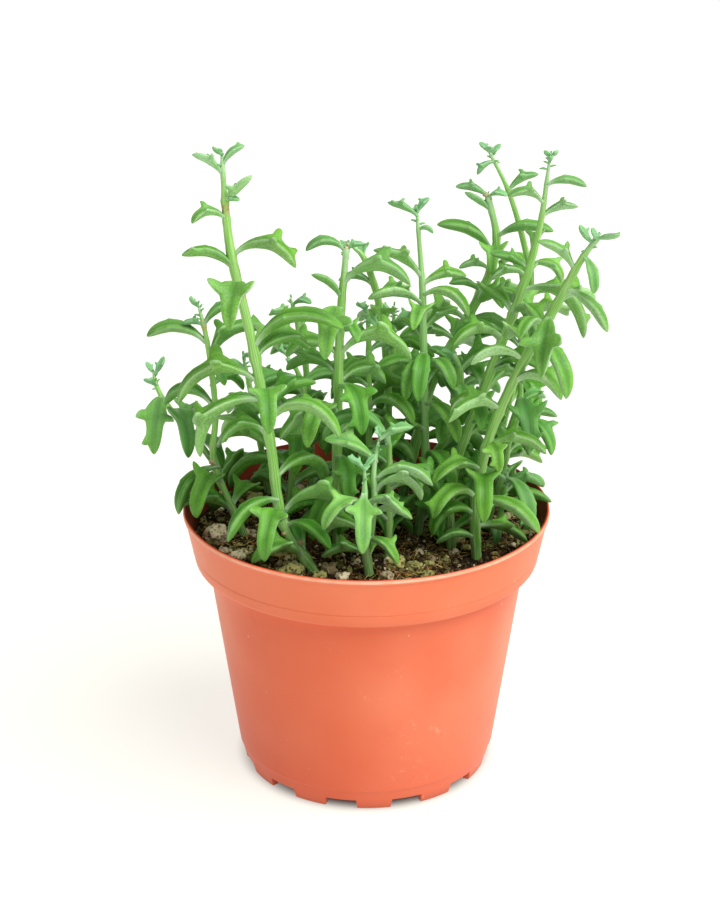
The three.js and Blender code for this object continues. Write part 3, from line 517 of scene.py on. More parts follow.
def gapToLip(centre, radius):
    wall = potShape["wall"]
    low = np.array([potShape["lipFootRadius"] - wall, potShape["lipFoot"]])
    line = np.array([potShape["rimRadius"] - wall, potShape["height"] - wall]) - low
    here = np.stack([np.hypot(centre[:, 0], centre[:, 1]), centre[:, 2]], 1)
    share = np.clip((here - low) @ line / (line @ line), 0, 1)
    return np.linalg.norm(here - low - share[:, None] * line, axis=1) - radius - wall


def isClear(balls, plant, taken):
    centre, radius, t = balls
    room, free = growth["roomToOthers"], t > growth["rootShare"]
    if any((np.abs(centre[:, axis]) + radius > growth["spread"][axis]).any() for axis in (0, 1)):
        return False
    if (free & (gapToLip(centre, radius) < room)).any():
        return False
    if (free & (centre[:, 2] - radius < soilHeight(centre[:, 0], centre[:, 1]) + room)).any():
        return False
    low, high = centre.min(0) - growth["nearby"], centre.max(0) + growth["nearby"]
    other = taken[((taken[:, :3] > low) & (taken[:, :3] < high)).all(1)]
    own = other[:, 5] == plant
    apart = np.linalg.norm(centre[:, None] - other[None, :, :3], axis=2)
    crowded = apart < radius[:, None] + other[None, :, 3] + np.where(own, 0, room)[None]
    ignored = own[None] & ~(free[:, None] & (other[:, 4] > growth["rootShare"])[None])
    return not (crowded & ~ignored).any()


def growRows(knots, rows, plant, taken, draw):
    grown = []
    for height, facing, length, fall, *rest in rows:
        root, girth = stemAtHeight(knots, height)
        usualFins = blade["plainFin"] if draw() < blade["plainChance"] else 1
        fins = rest[1] if len(rest) > 1 else usualFins
        habit = {"root": root, "stem": girth, "rise": rest[0] if rest else growth["usualRise"],
                 "node": height, "swing": mix(-growth["mostSwing"], growth["mostSwing"], draw()),
                 "roll": mix(-growth["mostRoll"], growth["mostRoll"], draw()),
                 "finLeft": mix(*blade["finScale"], draw()) * fins,
                 "finRight": mix(*blade["finScale"], draw()) * fins,
                 "finPlace": mix(*blade["finPlace"], draw()), "tooth": draw() < growth["toothChance"]}
        for turn, droop, scale in growth["bends"]:
            leaf = {**habit, "facing": facing + turn, "length": length * scale,
                    "fall": max(growth["lowestFall"], fall + droop)}
            balls = leafBalls(leaf)
            if isClear(balls, plant, taken[0]):
                centre, radius, t = balls
                held = np.column_stack([centre, radius, t, np.full(len(t), plant)])
                taken[0] = np.vstack([taken[0], held])
                grown.append(leaf)
                break
    return grown


# The stems take their room first, then the leaves that stand out, then those that fill the rest.
def growLeaves():
    draw = makeDraw(growth["seed"])
    names = list(dict.fromkeys(shoot["name"] for shoot in shoots))
    plants = [{"shoot": shoot, "knots": stemKnots(shoot), "id": names.index(shoot["name"])}
              for shoot in shoots]
    stems = []
    for plant in plants:
        points, girths = plant["knots"]
        for k in range(len(points) - 1):
            for part in np.arange(growth["ballsPerSpan"]) / growth["ballsPerSpan"]:
                centre = mix(points[k], points[k + 1], part)
                stems.append((*centre, mix(girths[k], girths[k + 1], part), 1, plant["id"]))
    taken = [np.array(stems)]
    for plant in plants:
        rows = plant["shoot"].get("leaves", [])
        plant["leaves"] = growRows(plant["knots"], rows, plant["id"], taken, draw)
    for plant in plants:
        if "fill" in plant["shoot"]:
            rows = rowsByRule(plant["shoot"], draw)
            plant["leaves"] += growRows(plant["knots"], rows, plant["id"], taken, draw)
    return plants


# Leaves: rings of points from the root inside the stem to the tip, drawn out into a fin on each side
leafFinish = {"topAcross": (-1, -0.93, -0.75, -0.45, -0.15, 0.15, 0.45, 0.75, 0.93, 1),
              "bottomAcross": (0.93, 0.7, 0.35, 0, -0.35, -0.7, -0.93), "bellyPower": 0.55,
              "underEdge": (0.4, 2.5), "underFall": 0.6,
              "pullAt": (0.6, 0.75, 0.93, 1), "pull": (0, 0.3, 0.88, 1),
              # rings: evenly up to the fins, in fin reaches round them, then in shares of what is left
              "baseRings": 4, "leastFin": 0.7, "longestStep": 0.2, "plainEvery": 3,
              "finSteps": (-1.3, -0.85, -0.55, -0.37, -0.28, -0.22, -0.15, -0.05,
                           0.05, 0.15, 0.21, 0.26, 0.34, 0.48, 0.72),
              "tipSteps": (0.2, 0.37, 0.48, 0.57, 0.66, 0.78, 0.89, 0.96, 0.99),
              "finInward": (1.35, 2.6), "finOutward": (0.8, 2.2), "footRound": 0.12, "leastFoot": 2,
              "fingerHalf": 0.27, "fingerShare": 0.62, "hook": 0.4, "hookTurn": 1.7, "finCurl": 0.5,
              "toothPlace": 0.83, "toothScale": 0.6,
              "keelShare": 0.92, "keelMore": 0.2, "keelPower": 4, "bluntness": 0.93, "tipRound": 20,
              "rootGirth": 0.55, "rootRun": 0.06}
# Tone runs from 0, deep green, to 1, pale; youth adds the grey green of the tips. Tone also rises with the
# height of a leaf's node: painted shade that darkens the low leaves.
tones = {"seed": 5, "plant": (0.35, 0.3), "drawn": 0.45, "shadeByHeight": 0.45, "low": 105, "span": 110,
         "freshPlants": {"stem_front": 0.4, "stem_right_low": 0.15, "stem_lean_right": 0.1},
         "paleStems": {"stem_front": 0.7, "stem_centre_right": 0.45}, "paleRun": 0.8,
         "youngLength": 15, "smallStart": 1.3, "youngReach": 32, "bySize": 0.85, "byTip": 0.35,
         "youngStem": 0.86}
# Where a skin's pattern lies: apart for each tone, wrapped round the stem and along the leaf
pattern = {"apart": 37, "leafWidth": 1.15, "leafRun": 0.12, "stemRadius": 2.4, "stemRun": 0.07,
           "stubScale": 0.5}


def leafSection():
    top, bottom = (np.array(leafFinish[key]) for key in ("topAcross", "bottomAcross"))
    arch = np.sqrt(1 - top ** 2)
    edge, crown = blade["edgeShare"], blade["crown"]
    rise = edge + crown * arch - blade["groove"] * np.exp(-(top / blade["grooveWidth"]) ** 2) * arch
    belly = edge - (1 + edge) * (1 - bottom ** 2) ** leafFinish["bellyPower"]
    across = np.concatenate([top, bottom])
    amount, rate = leafFinish["underEdge"]
    under = np.concatenate([amount * (1 - np.minimum(1, rate * arch)),
                            1 - leafFinish["underFall"] * bottom ** 2])
    pull = np.interp(np.abs(across), leafFinish["pullAt"], leafFinish["pull"])
    return across, np.concatenate([rise, belly]), under, pull


# How far out a fin stands at steps along the leaf, counted in its own reach: a blunt finger on a foot that
# runs out long towards the stalk and short towards the tip.
def finShape(step, scale):
    (inward, inPower), (outward, outPower) = leafFinish["finInward"], leafFinish["finOutward"]
    blunt = leafFinish["footRound"]
    away = np.hypot(np.where(step < 0, step / inward, step / outward), blunt) - blunt
    foot = np.clip(1 - away, 0, 1) ** np.where(step < 0, inPower, outPower)
    finger = np.sqrt(np.clip(1 - (step / leafFinish["fingerHalf"]) ** 2, 0, 1))
    return mix(foot, finger, leafFinish["fingerShare"] * min(1, 2 * scale))


def leafRings(leaf, plain=False):
    reach = finReach(leaf) * max(leaf["finLeft"], leaf["finRight"], leafFinish["leastFin"]) / leaf["length"]
    reach = min(reach, leafFinish["longestStep"])
    fin = leaf["finPlace"] + reach * np.array(leafFinish["finSteps"])
    base = np.arange(leafFinish["baseRings"]) / leafFinish["baseRings"] * fin[0]
    tip = fin[-1] + (1 - fin[-1]) * np.array(leafFinish["tipSteps"])
    return np.concatenate([base, fin, tip])[::leafFinish["plainEvery"] if plain else 1]


def leafGirth(leaf, t):
    slim = leaf.get("slim", 1)
    half = slim * halfWidth(leaf["length"], leafFinish["bluntness"] * t)
    half = np.maximum(half, leafFinish["rootGirth"] * leaf["stem"] * (1 - t / leafFinish["rootRun"]))
    half = half * np.sqrt(1 - t ** leafFinish["tipRound"])
    more = leafFinish["keelMore"] * slim * (1 - t ** leafFinish["keelPower"])
    return half, leafFinish["keelShare"] * half + more


def drawFins(leaf, t, out, up, across, pull):
    ahead = np.zeros_like(up)
    hook = leafFinish["hook"] * math.sin(leafFinish["hookTurn"] * leaf["facing"] + leaf["length"])
    curl, tilt = leafFinish["finCurl"], blade["finTilt"]
    lobes = [(-1, leaf["finPlace"], leaf["finLeft"]), (1, leaf["finPlace"], leaf["finRight"])]
    if leaf["tooth"]:
        lobes.append((1 if hook > 0 else -1, leafFinish["toothPlace"], leafFinish["toothScale"]))
    for which, place, scale in lobes:
        reach = finReach(leaf) * scale
        grown = finShape((t - place) * leaf["length"] / max(reach, leafFinish["leastFoot"]), scale)
        share = grown[:, None] * (pull * (np.sign(across) == which))[None]
        out = out + which * reach * share * math.cos(tilt)
        up = up + reach * ((1 + curl) * share - curl * share ** 2) * math.sin(tilt)
        ahead = ahead + hook * reach * share ** 2
    return out, up, ahead


def leafPart(leaf, youth, tone, plain=False):
    t = leafRings(leaf, plain)
    spine = leafSpine(leaf)[1]
    along, side, top = leafAxes(leaf, t)
    middle = linePoints(spine, t)
    across, rise, under, pull = leafSection()
    half, depth = leafGirth(leaf, t)
    out, up = half[:, None] * across[None], depth[:, None] * rise[None]
    out, up, ahead = drawFins(leaf, t, out, up, across, pull)
    points = (middle[:, None] + side[:, None] * out[..., None] + top[:, None] * up[..., None]
              + along[:, None] * ahead[..., None]).reshape(-1, 3)
    rings, sides = len(t), len(across)
    last, tip = (rings - 1) * sides, rings * sides
    faces = ringFaces(rings, sides) + [(last + k, last + (k + 1) % sides, tip) for k in range(sides)]
    faces.append(tuple(reversed(range(sides))))
    run = np.append(np.repeat(t, sides), 1)
    wide = np.append(np.tile(across, rings), 0)
    below = np.append(np.tile(under, rings), 0.5)
    seed = pattern["apart"] * tone
    broad = pattern["leafWidth"] * halfWidth(leaf["length"], 0.5)
    onward = run * leaf["length"] * pattern["leafRun"]
    return {"points": np.vstack([points, spine[-1]]), "faces": faces,
            "skin": np.stack([broad * wide, 0.5 * broad * below + seed, onward + seed], 1),
            "growth": np.stack([np.full(len(run), youth), np.full(len(run), tone), 0 * run], 1),
            "blade": np.stack([np.abs(wide), run, below], 1)}


def leafYouth(leaf, top):
    small = np.clip(tones["smallStart"] - leaf["length"] / tones["youngLength"], 0, 1)
    near = np.clip(1 - (top - leaf["node"]) / tones["youngReach"], 0, 1)
    return min(1, tones["bySize"] * small + tones["byTip"] * near)


# Stems: a ridged skin drawn along each shoot's middle line, swollen a little at its nodes
stemFinish = {"step": 2.2, "sides": 15, "ridges": 5, "ridgeDepth": 0.04, "swell": 0.16, "swellReach": 1.8,
              "wobble": 0.16, "wobbleLength": 9, "wobbleTurn": 1.3, "wobbleStart": 8,
              "thinTip": 1, "tipLength": 9, "tipShare": 0.6, "endShare": 0.35}
# Brown scars: stem, height, reach along the stem, strength
scars = [("stem_tall_left", 247.5, 2.2, 0.75), ("stem_tall_left", 214, 1.1, 0.35),
         ("stem_tall_left", 176, 1, 0.3), ("stem_left", 180, 1.2, 0.4), ("stem_left", 190, 4, 0.5),
         ("stem_centre_left", 228.8, 1.1, 1), ("stem_centre_left", 190, 1, 0.4),
         ("stem_centre_right", 196, 1.3, 0.45), ("stem_right_cut", 238.6, 1.1, 1),
         ("stem_right_cut", 206, 1.1, 0.45), ("stem_right", 158, 1.2, 0.4),
         ("stem_thin_right", 222, 1.2, 0.5), ("stem_tall_right", 233, 1, 0.3),
         ("stem_front", 112, 1.5, 0.4)]
# Dry stubs of lost leaves: stem, height, facing, length
stubs = [("stem_left", 131, 200, 4.2), ("stem_tall_left", 117, 215, 2.6), ("stem_left", 119, 190, 2.2),
         ("stem_tall_left", 113, 330, 3), ("stem_centre_left", 136, 10, 2.4),
         ("stem_centre_left", 227.4, 60, 1.2), ("stem_right_cut", 237.6, 200, 1.3),
         ("stem_right_low", 116, 300, 2.4), ("stem_centre_right", 120, 230, 2.6),
         ("stem_lean_right", 118, 200, 2.4), ("stem_back_left", 122, 250, 2.6),
         ("stem_tall_right", 120, 280, 2.4)]
stub = {"rise": 42, "sides": 8, "start": 1.2, "radius": 1.05,
        "rows": ((0, 1.0), (0.5, 0.9), (0.85, 1.25), (1, 0.8)), "dry": (0.3, 0.6, 0.85, 0.85)}
# A tuft of tiny slender leaves up the last stretch of each shoot
tuft = {"count": 7, "length": (3.6, 1.7), "vary": (0.8, 1.1), "rise": (25, 80), "fall": (-15, 60),
        "drop": 6.5, "lift": 0.3, "root": 0.4, "slim": 0.45, "fin": 0.3, "finPlace": 0.5, "tone": (0.4, 0.4)}


def makeStemTree():
    tree, given, result = makeTree("stemSkin", "GeometryNodeTree",
                                   [("Line", "Geometry", None), ("Sides", "Int", 12), ("Ridges", "Int", 5),
                                    ("Ridge Depth", "Float", 0.05), ("Material", "Material", None)],
                                   [("Skin", "Geometry")])
    rail = put(tree, "GeometryNodeMeshToCurve", {"Mesh": given.outputs["Line"]})
    girth = put(tree, "GeometryNodeInputNamedAttribute", {"Name": "girth"}, data_type="FLOAT")
    circle = put(tree, "GeometryNodeCurvePrimitiveCircle",
                 {"Resolution": given.outputs["Sides"], "Radius": 1.0})
    around = put(tree, "GeometryNodeSplineParameter").outputs["Factor"]
    wave = calculate(tree, "SINE", product(tree, around, given.outputs["Ridges"], 2 * math.pi))
    wave = product(tree, wave, given.outputs["Ridge Depth"])
    here = put(tree, "GeometryNodeInputPosition")
    push = put(tree, "ShaderNodeVectorMath", {0: here.outputs[0], "Scale": wave}, operation="SCALE")
    ridged = put(tree, "GeometryNodeSetPosition",
                 {"Geometry": circle.outputs["Curve"], "Offset": push.outputs["Vector"]})
    marked = put(tree, "GeometryNodeStoreNamedAttribute",
                 {"Geometry": ridged.outputs[0], "Name": "around", "Value": around},
                 data_type="FLOAT", domain="POINT")
    skin = put(tree, "GeometryNodeCurveToMesh",
               {"Curve": rail.outputs[0], "Profile Curve": marked.outputs[0],
                "Scale": girth.outputs["Attribute"], "Fill Caps": True})
    finishTree(tree, skin.outputs[0], given.outputs["Material"], result)
    return tree


def shootLine(shoot, heights):
    look = stemFinish
    path = np.asarray(shoot["path"], float)
    length = lineLength(path)
    share = np.linspace(0, 1, int(length / look["step"]) + 2)
    points = linePoints(path, share)
    wave = share * length / look["wobbleLength"] + path[0, 0]
    ease = smooth(share * look["wobbleStart"])
    points[:, 0] += look["wobble"] * np.sin(wave) * ease
    points[:, 1] += look["wobble"] * np.cos(look["wobbleTurn"] * wave) * ease
    girth = np.interp(share, growth["girthAt"], shoot["girth"])
    for height in heights:
        girth = girth * (1 + look["swell"] * np.exp(-((points[:, 2] - height) / look["swellReach"]) ** 2))
    if girth[-1] < look["thinTip"]:
        onTip = (share * length - length + look["tipLength"]) / look["tipLength"]
        girth = girth * mix(1, look["tipShare"], smooth(onTip))
    girth[-1] *= look["endShare"]
    return points, girth, share, share * length


def stemHost(name, lines):
    points, girth, share, run = [np.concatenate(values) for values in zip(*lines)]
    edges, start = [], 0
    for line in lines:
        edges += [(start + k, start + k + 1) for k in range(len(line[0]) - 1)]
        start += len(line[0])
    host = bpy.data.meshes.new(name)
    host.from_pydata((points * milli).tolist(), edges, [])
    for key, values in (("girth", girth * milli), ("share", share), ("run", run)):
        host.attributes.new(key, "FLOAT", "POINT").data.foreach_set("value", values.astype(np.float32))
    return addHost(host)


def readMesh(mesh, *names):
    count = len(mesh.vertices)
    points = np.empty(count * 3)
    mesh.vertices.foreach_get("co", points)
    read = [points.reshape(-1, 3) / milli]
    for name in names:
        values = np.empty(count)
        mesh.attributes[name].data.foreach_get("value", values)
        read.append(values)
    return read


def stemPart(name, shootsOfPlant, tree, material, tone):
    lines = [shootLine(plant["shoot"], [leaf["node"] for leaf in plant["leaves"]]) for plant in shootsOfPlant]
    mesh = growMesh(name, stemHost(name, lines), tree,
                    {"Sides": stemFinish["sides"], "Ridges": stemFinish["ridges"],
                     "Ridge Depth": stemFinish["ridgeDepth"], "Material": material})
    points, around, share, run = readMesh(mesh, "around", "share", "run")
    faces = [tuple(polygon.vertices) for polygon in mesh.polygons]
    bpy.data.meshes.remove(mesh)
    scar = np.zeros(len(points))
    for plant, height, size, amount in scars:
        if plant == name:
            scar = np.maximum(scar, amount * np.exp(-((points[:, 2] - height) / size) ** 2))
    youth = smooth((share - tones["youngStem"]) / (1 - tones["youngStem"]))
    pale = tones["paleStems"].get(name, 0) * smooth(share / tones["paleRun"])
    angle, radius = 2 * np.pi * around, pattern["stemRadius"]
    onward = run * pattern["stemRun"] + pattern["apart"] * tone
    return {"points": points, "faces": faces,
            "skin": np.stack([radius * np.cos(angle), radius * np.sin(angle), onward], 1),
            "growth": np.stack([np.maximum(youth, pale), np.full(len(points), tone), scar], 1),
            "blade": np.stack([share, 0 * share, 0 * share], 1)}


def stubPart(root, facing, length, tone):
    rise, turn, sides = math.radians(stub["rise"]), math.radians(facing), stub["sides"]
    along = np.array([math.cos(rise) * math.cos(turn), math.cos(rise) * math.sin(turn), math.sin(rise)])
    side = np.array([math.sin(turn), -math.cos(turn), 0])
    top = np.cross(side, along)
    angle = 2 * math.pi * np.arange(sides) / sides
    ring = np.cos(angle)[:, None] * side + np.sin(angle)[:, None] * top
    points = np.concatenate([root + along * (stub["start"] + length * run) + stub["radius"] * wide * ring
                             for run, wide in stub["rows"]])
    count = len(points)
    faces = ringFaces(len(stub["rows"]), sides)
    faces += [tuple(range(count - sides, count)), tuple(reversed(range(sides)))]
    return {"points": points, "faces": faces, "skin": points * pattern["stubScale"],
            "growth": np.stack([np.zeros(count), np.full(count, tone), np.repeat(stub["dry"], sides)], 1),
            "blade": np.zeros((count, 3))}


def tuftParts(shoot, knots, draw):
    top = shoot["path"][-1][2]
    least, more = tuft["tone"]
    parts = []
    for k in range(tuft["count"]):
        share = k / (tuft["count"] - 1)
        root, girth = stemAtHeight(knots, top - tuft["drop"] * (1 - share) + tuft["lift"])
        leaf = {"root": root, "stem": tuft["root"] * girth, "rise": mix(*tuft["rise"], share),
                "fall": mix(*tuft["fall"], share), "facing": growth["goldenTurn"] * k + 360 * draw(),
                "swing": 0, "roll": 0, "finLeft": tuft["fin"], "finRight": tuft["fin"],
                "finPlace": tuft["finPlace"], "slim": tuft["slim"], "tooth": False,
                "length": mix(*tuft["length"], share) * mix(*tuft["vary"], draw())}
        parts.append(leafPart(leaf, 1, least + more * draw(), plain=True))
    return parts


def leafParts(name, shootsOfPlant, plantTone, draw):
    fresh = tones["freshPlants"].get(name, 0)
    parts = []
    for plant in shootsOfPlant:
        top = plant["shoot"]["path"][-1][2]
        for leaf in plant["leaves"]:
            # painted shade: the lower a leaf's node, the deeper its tone
            height = np.clip((leaf["node"] - tones["low"]) / tones["span"], 0, 1)
            tone = np.clip(tones["drawn"] * draw() + tones["shadeByHeight"] * height + fresh, 0, 1)
            parts.append(leafPart(leaf, leafYouth(leaf, top), tone))
        parts += tuftParts(plant["shoot"], plant["knots"], draw)
    for plantName, height, facing, length in stubs:
        if plantName == name:
            root, _ = stemAtHeight(shootsOfPlant[0]["knots"], height)
            parts.append(stubPart(root, facing, length, plantTone))
    return parts


def makePlants(leafSkin, stemSkin):
    plants = growLeaves()
    tree = makeStemTree()
    draw = makeDraw(tones["seed"])
    total = 0
    for name in dict.fromkeys(shoot["name"] for shoot in shoots):
        own = [plant for plant in plants if plant["shoot"]["name"] == name]
        plantTone = tones["plant"][0] + tones["plant"][1] * draw()
        stem = stemPart(name, own, tree, stemSkin, plantTone)
        whole = joinParts([stem, *leafParts(name, own, plantTone, draw)])
        slots = np.ones(len(whole["faces"]), np.int32)
        slots[:len(stem["faces"])] = 0
        mesh = makeMesh(name + "_green", whole)
        addPiece(name + "_green", mesh, [stemSkin, leafSkin], name)
        mesh.polygons.foreach_set("material_index", slots)
        mesh.update()
        total += sum(len(face) - 2 for face in whole["faces"])
        print(name, "has", sum(len(plant["leaves"]) for plant in own), "leaves")
    print("plants:", total, "triangles")


# Pot: one moulded shell, drawn as columns of its profile, whose feet follow the notches
potFinish = {"columns": (0, 2.5, 5, 6.6, 6.9, 7.15, 7.35, 7.45, 8.4, 10, 12.5, 15), "foot": 0.3,
             "sharpAngle": 38, "drainSides": 24, "drill": (2.5, 9.5),
             "footIn": 0.5, "footDrop": 0.6, "lipIn": 0.7, "lipFirst": 1.2, "lipLast": 0.5, "beadFoot": 0.02,
             "floorIn": 0.6, "floorRings": (0.5, 0.4), "innerEdge": (1.2, 6),
             # small steps out and up that round the profile at a corner
             "heelTurn": ((0.03, -0.6), (0.36, -0.38)), "lipUnder": ((-0.2, -0.7), (-0.02, -0.22), (0.45, 0)),
             "lipTurn": ((-0.9, 0), (-0.35, 0.12), (-0.02, 0.55)),
             "beadTurn": ((-0.35, 0.12), (-0.08, 0.5), (0, 1.05), (-0.04, 1.6)),
             "rimTurn": ((-0.25, -0.38), (-0.6, -0.08), (-0.95, 0)), "innerTurn": ((0.08, -0.12), (0, -0.5)),
             # the crease: steps up, and steps out from the lip's slope
             "creaseTurn": ((-0.5, 0), (-0.2, -0.03), (0, -potShape["crease"]), (0.25, 0.05), (1, 0)),
             # heights where the foot, the body and the lip have plain rings
             "footRings": (5.2, 8.6), "bodyRings": (9.9, 30, 60, 88), "lipRing": 106}


def notchAt(angle):
    half = math.degrees(math.asin(potShape["notchWidth"] / 2 / potShape["footRadius"]))
    pitch = 360 / potShape["notchCount"]
    out = np.abs((angle - potShape["firstNotch"] + pitch / 2) % pitch - pitch / 2)
    return potShape["notchHeight"] * smooth((half - out) / potShape["notchRound"])


def potColumns():
    one = np.array(potFinish["columns"])
    offsets = np.concatenate([-one[:0:-1], one[:-1]])
    first, count = potShape["firstNotch"], potShape["notchCount"]
    return np.concatenate([first + k * 360 / count + offsets for k in range(count)])


def potProfile(lift):
    shape, look = potShape, potFinish
    rim, top, wall, lip = (shape[key] for key in ("rimRadius", "height", "wall", "lipFoot"))
    heel, heelHeight, lipRadius = shape["heelRadius"], shape["heelHeight"], shape["lipFootRadius"]
    shoulder, crease, bead = shape["shoulderRadius"], shape["creaseHeight"], top - shape["beadHeight"]
    foot, footTop, footEnd = shape["footRadius"], heel - look["footIn"], heelHeight - look["footDrop"]
    inner, floor, edge = foot - shape["footWall"], shape["floorTop"], look["foot"]
    edgeIn, edgeDown = look["innerEdge"]
    below, above = look["floorRings"]

    def footAt(z):
        return mix(foot, footTop, z / footEnd), z

    def bodyAt(z):
        return mix(heel, shoulder, (z - heelHeight) / (lip - heelHeight)), z

    def lipAt(z, out=0):
        return mix(lipRadius, rim - look["lipIn"], (z - lip) / (bead - lip)) + out, z

    def corner(radius, height, steps):
        return [(radius + out, height + up) for out, up in steps]

    return [(inner * below, shape["floorBottom"]), (inner, shape["floorBottom"]), (inner, lift),
            (inner + edge, lift), (footAt(lift)[0] - edge, lift), footAt(lift + edge),
            *[footAt(z) for z in look["footRings"]], *corner(footTop, heelHeight, look["heelTurn"]),
            (heel, heelHeight), *[bodyAt(z) for z in look["bodyRings"]],
            *corner(shoulder, lip, look["lipUnder"]), *corner(lipRadius, lip, look["lipTurn"]),
            lipAt(lip + look["lipFirst"]), *[lipAt(crease + up, out) for up, out in look["creaseTurn"]],
            lipAt(look["lipRing"]), lipAt(bead - look["lipLast"]), lipAt(bead, look["beadFoot"]),
            *corner(rim, bead, look["beadTurn"]), *corner(rim, top, look["rimTurn"]),
            *corner(rim - wall, top, look["innerTurn"]), (rim - wall - edgeIn, top - edgeDown),
            (lipRadius - wall, lip + wall), (shoulder - wall, lip + wall), (heel - wall, heelHeight),
            (heel - wall - look["floorIn"], floor), (heel * above, floor)]


def cutDrains(pot):
    sides = potFinish["drainSides"]
    angle = 2 * math.pi * np.arange(sides) / sides
    parts = []
    for k in range(potShape["drainCount"]):
        turn = 2 * math.pi * k / potShape["drainCount"]
        x = potShape["drainRing"] * math.cos(turn) + potShape["drainRadius"] * np.cos(angle)
        y = potShape["drainRing"] * math.sin(turn) + potShape["drainRadius"] * np.sin(angle)
        points = np.concatenate([np.stack([x, y, np.full(sides, z)], 1) for z in potFinish["drill"]])
        ends = [tuple(reversed(range(sides))), tuple(range(sides, 2 * sides))]
        parts.append({"points": points, "faces": ringFaces(2, sides) + ends})
    drill = addHost(makeMesh("drill", joinParts(parts)))
    cut = pot.modifiers.new("drains", "BOOLEAN")
    cut.operation, cut.solver, cut.object = "DIFFERENCE", "EXACT", drill
    graph = bpy.context.evaluated_depsgraph_get()
    mesh = bpy.data.meshes.new_from_object(pot.evaluated_get(graph), depsgraph=graph)
    for used in (pot, drill):
        bpy.data.objects.remove(used)
    return mesh


def markSharp(mesh, angle):
    mesh.shade_smooth()
    shell = bmesh.new()
    shell.from_mesh(mesh)
    for edge in shell.edges:
        if len(edge.link_faces) == 2 and edge.calc_face_angle() > math.radians(angle):
            edge.smooth = False
    shell.to_mesh(mesh)
    shell.free()


def makePot(plastic):
    angles = potColumns()
    turn = np.radians(angles)
    profiles = np.array([potProfile(lift) for lift in notchAt(angles)])
    rings, sides = profiles.shape[1], len(angles)
    radius, height = profiles[:, :, 0].T, profiles[:, :, 1].T
    points = np.stack([radius * np.cos(turn), radius * np.sin(turn), height], 2).reshape(-1, 3)
    faces = ringFaces(rings, sides)
    bottom, top, last = len(points), len(points) + 1, (rings - 1) * sides
    points = np.vstack([points, [0, 0, potShape["floorBottom"]], [0, 0, potShape["floorTop"]]])
    for k in range(sides):
        after = (k + 1) % sides
        faces += [(bottom, after, k), (last + k, last + after, top)]
    mesh = cutDrains(addHost(makeMesh("pot_shell", {"points": points, "faces": faces})))
    markSharp(mesh, potFinish["sharpAngle"])
    addPiece("pot_shell", mesh, [plastic], "pot")
    print("pot:", len(mesh.polygons), "faces")


# Soil: a rolling bed of peat, and what lies on it
soilFinish = {"rings": 90, "columns": 220, "ringPower": 0.85, "smoothEdge": 0.04, "floorIn": 0.6,
              "lump": 0.75, "lumpSize": 7, "lumpSeed": 3.1, "crumb": 0.45, "crumbSize": 2.1, "crumbSeed": 8.7,
              "octaves": 3,
              # the bed's area in square metres, which turns a count of grains into a density
              "area": 0.0154}
litter = [
    # name, kind, how many before gaps, smallest and largest in mm, tilt, how fine its patches are, seed
    ("peat_crumbs", "crumb", 5600, (0.7, 2.5), 3.0, 20.0, 3),
    ("bark_bits", "chip", 900, (1.2, 3.8), 0.7, 40.0, 8),
    ("fibres", "fibre", 4200, (1.6, 6.5), 0.6, 28.0, 12),
    ("perlite_grit", "stone", 440, (0.6, 1.8), 3.0, 60.0, 21),
    ("pumice_gravel", "stone", 110, (2.0, 4.4), 3.0, 90.0, 34),
    ("moss_tufts", "tuft", 900, (0.9, 2.2), 0.5, 55.0, 45),
    ("moss_clods", "tuft", 380, (2.4, 5.0), 0.6, 38.0, 52),
    ("bark_slivers", "chip", 70, (4.0, 7.0), 0.6, 90.0, 61)]
scatter = {"patches": (0.38, 0.6), "patchDetail": 1.0, "toneSeed": 77, "shapeSeed": 17, "shapes": 4}
# Lumps that stand out: x, y, width, finish
stones = [(-61.5, -7.5, 11, "stone"), (-64, 22, 5, "stone"), (-58.5, -21, 4.5, "stone"),
          (-52, -29.5, 8, "stone"), (-44, -30.5, 8.5, "tuft"), (-30, -44, 10, "tuft"),
          (-24.5, -33.5, 4, "stone"), (-15, -38.5, 6.5, "stone"), (-19, -45, 6, "tuft"),
          (-9.5, -46, 5.5, "stone"), (8, -45.5, 5.5, "stone"), (-27.5, -11.5, 15, "crumb"),
          (12, -32, 7, "tuft"), (19, -34, 6, "tuft"), (41, -18, 4, "tuft"), (43.5, -5, 4, "crumb"),
          (51, -16, 4, "tuft"), (54.5, 0, 4.5, "tuft"), (38.5, 24.5, 4, "stone"), (38, -8, 6, "tuft"),
          (-37, -22, 5, "stone"), (24, -44, 5, "tuft"), (3, -14, 9, "crumb"), (47, 30, 7, "stone"),
          (-30, 40, 8, "stone"), (10, 55, 7, "tuft"), (30, 48, 6, "stone"), (-10, 22, 6, "stone"),
          (-48, 32, 7, "tuft"), (60, 14, 5, "stone"), (-14, 58, 9, "stone"), (-52, 8, 6, "tuft")]
stoneShape = {"detail": 4, "rough": 0.45, "flat": 0.76, "lift": 0.16, "tone": (0.55, 0.37)}
# Grains: how fine the ball is divided, how rough and how flat it is; waves are (how tight, how strong)
grainShapes = {"crumb": (1, 1.3, 0.55), "stone": (2, 0.8, 0.8), "tuft": (2, 0.9, 0.7)}
grainWaves = {"apart": (3.7, 1.9, 0.7), "broad": (2.6, 1), "knobs": (7, 0.4), "pits": (11, 0.32),
              "grain": (21, 0.1), "seeds": 20}
fibreShape = {"steps": 5, "sides": 3, "wide": 0.03, "bend": 0.35, "twist": 0.25, "lift": 0.06}
chipShape = {"sides": 6, "long": (0.38, 0.2), "wide": (0.2, 0.14), "levels": (-0.06, 0.07)}


def fineHeight(x, y):
    look = soilFinish
    size, crumbSize = look["lumpSize"], look["crumbSize"]
    lump = noise.noise(Vector((x / size, y / size, look["lumpSeed"]))) * look["lump"]
    place = Vector((x / crumbSize, y / crumbSize, look["crumbSeed"]))
    return lump + noise.turbulence(place, look["octaves"], False) * look["crumb"]


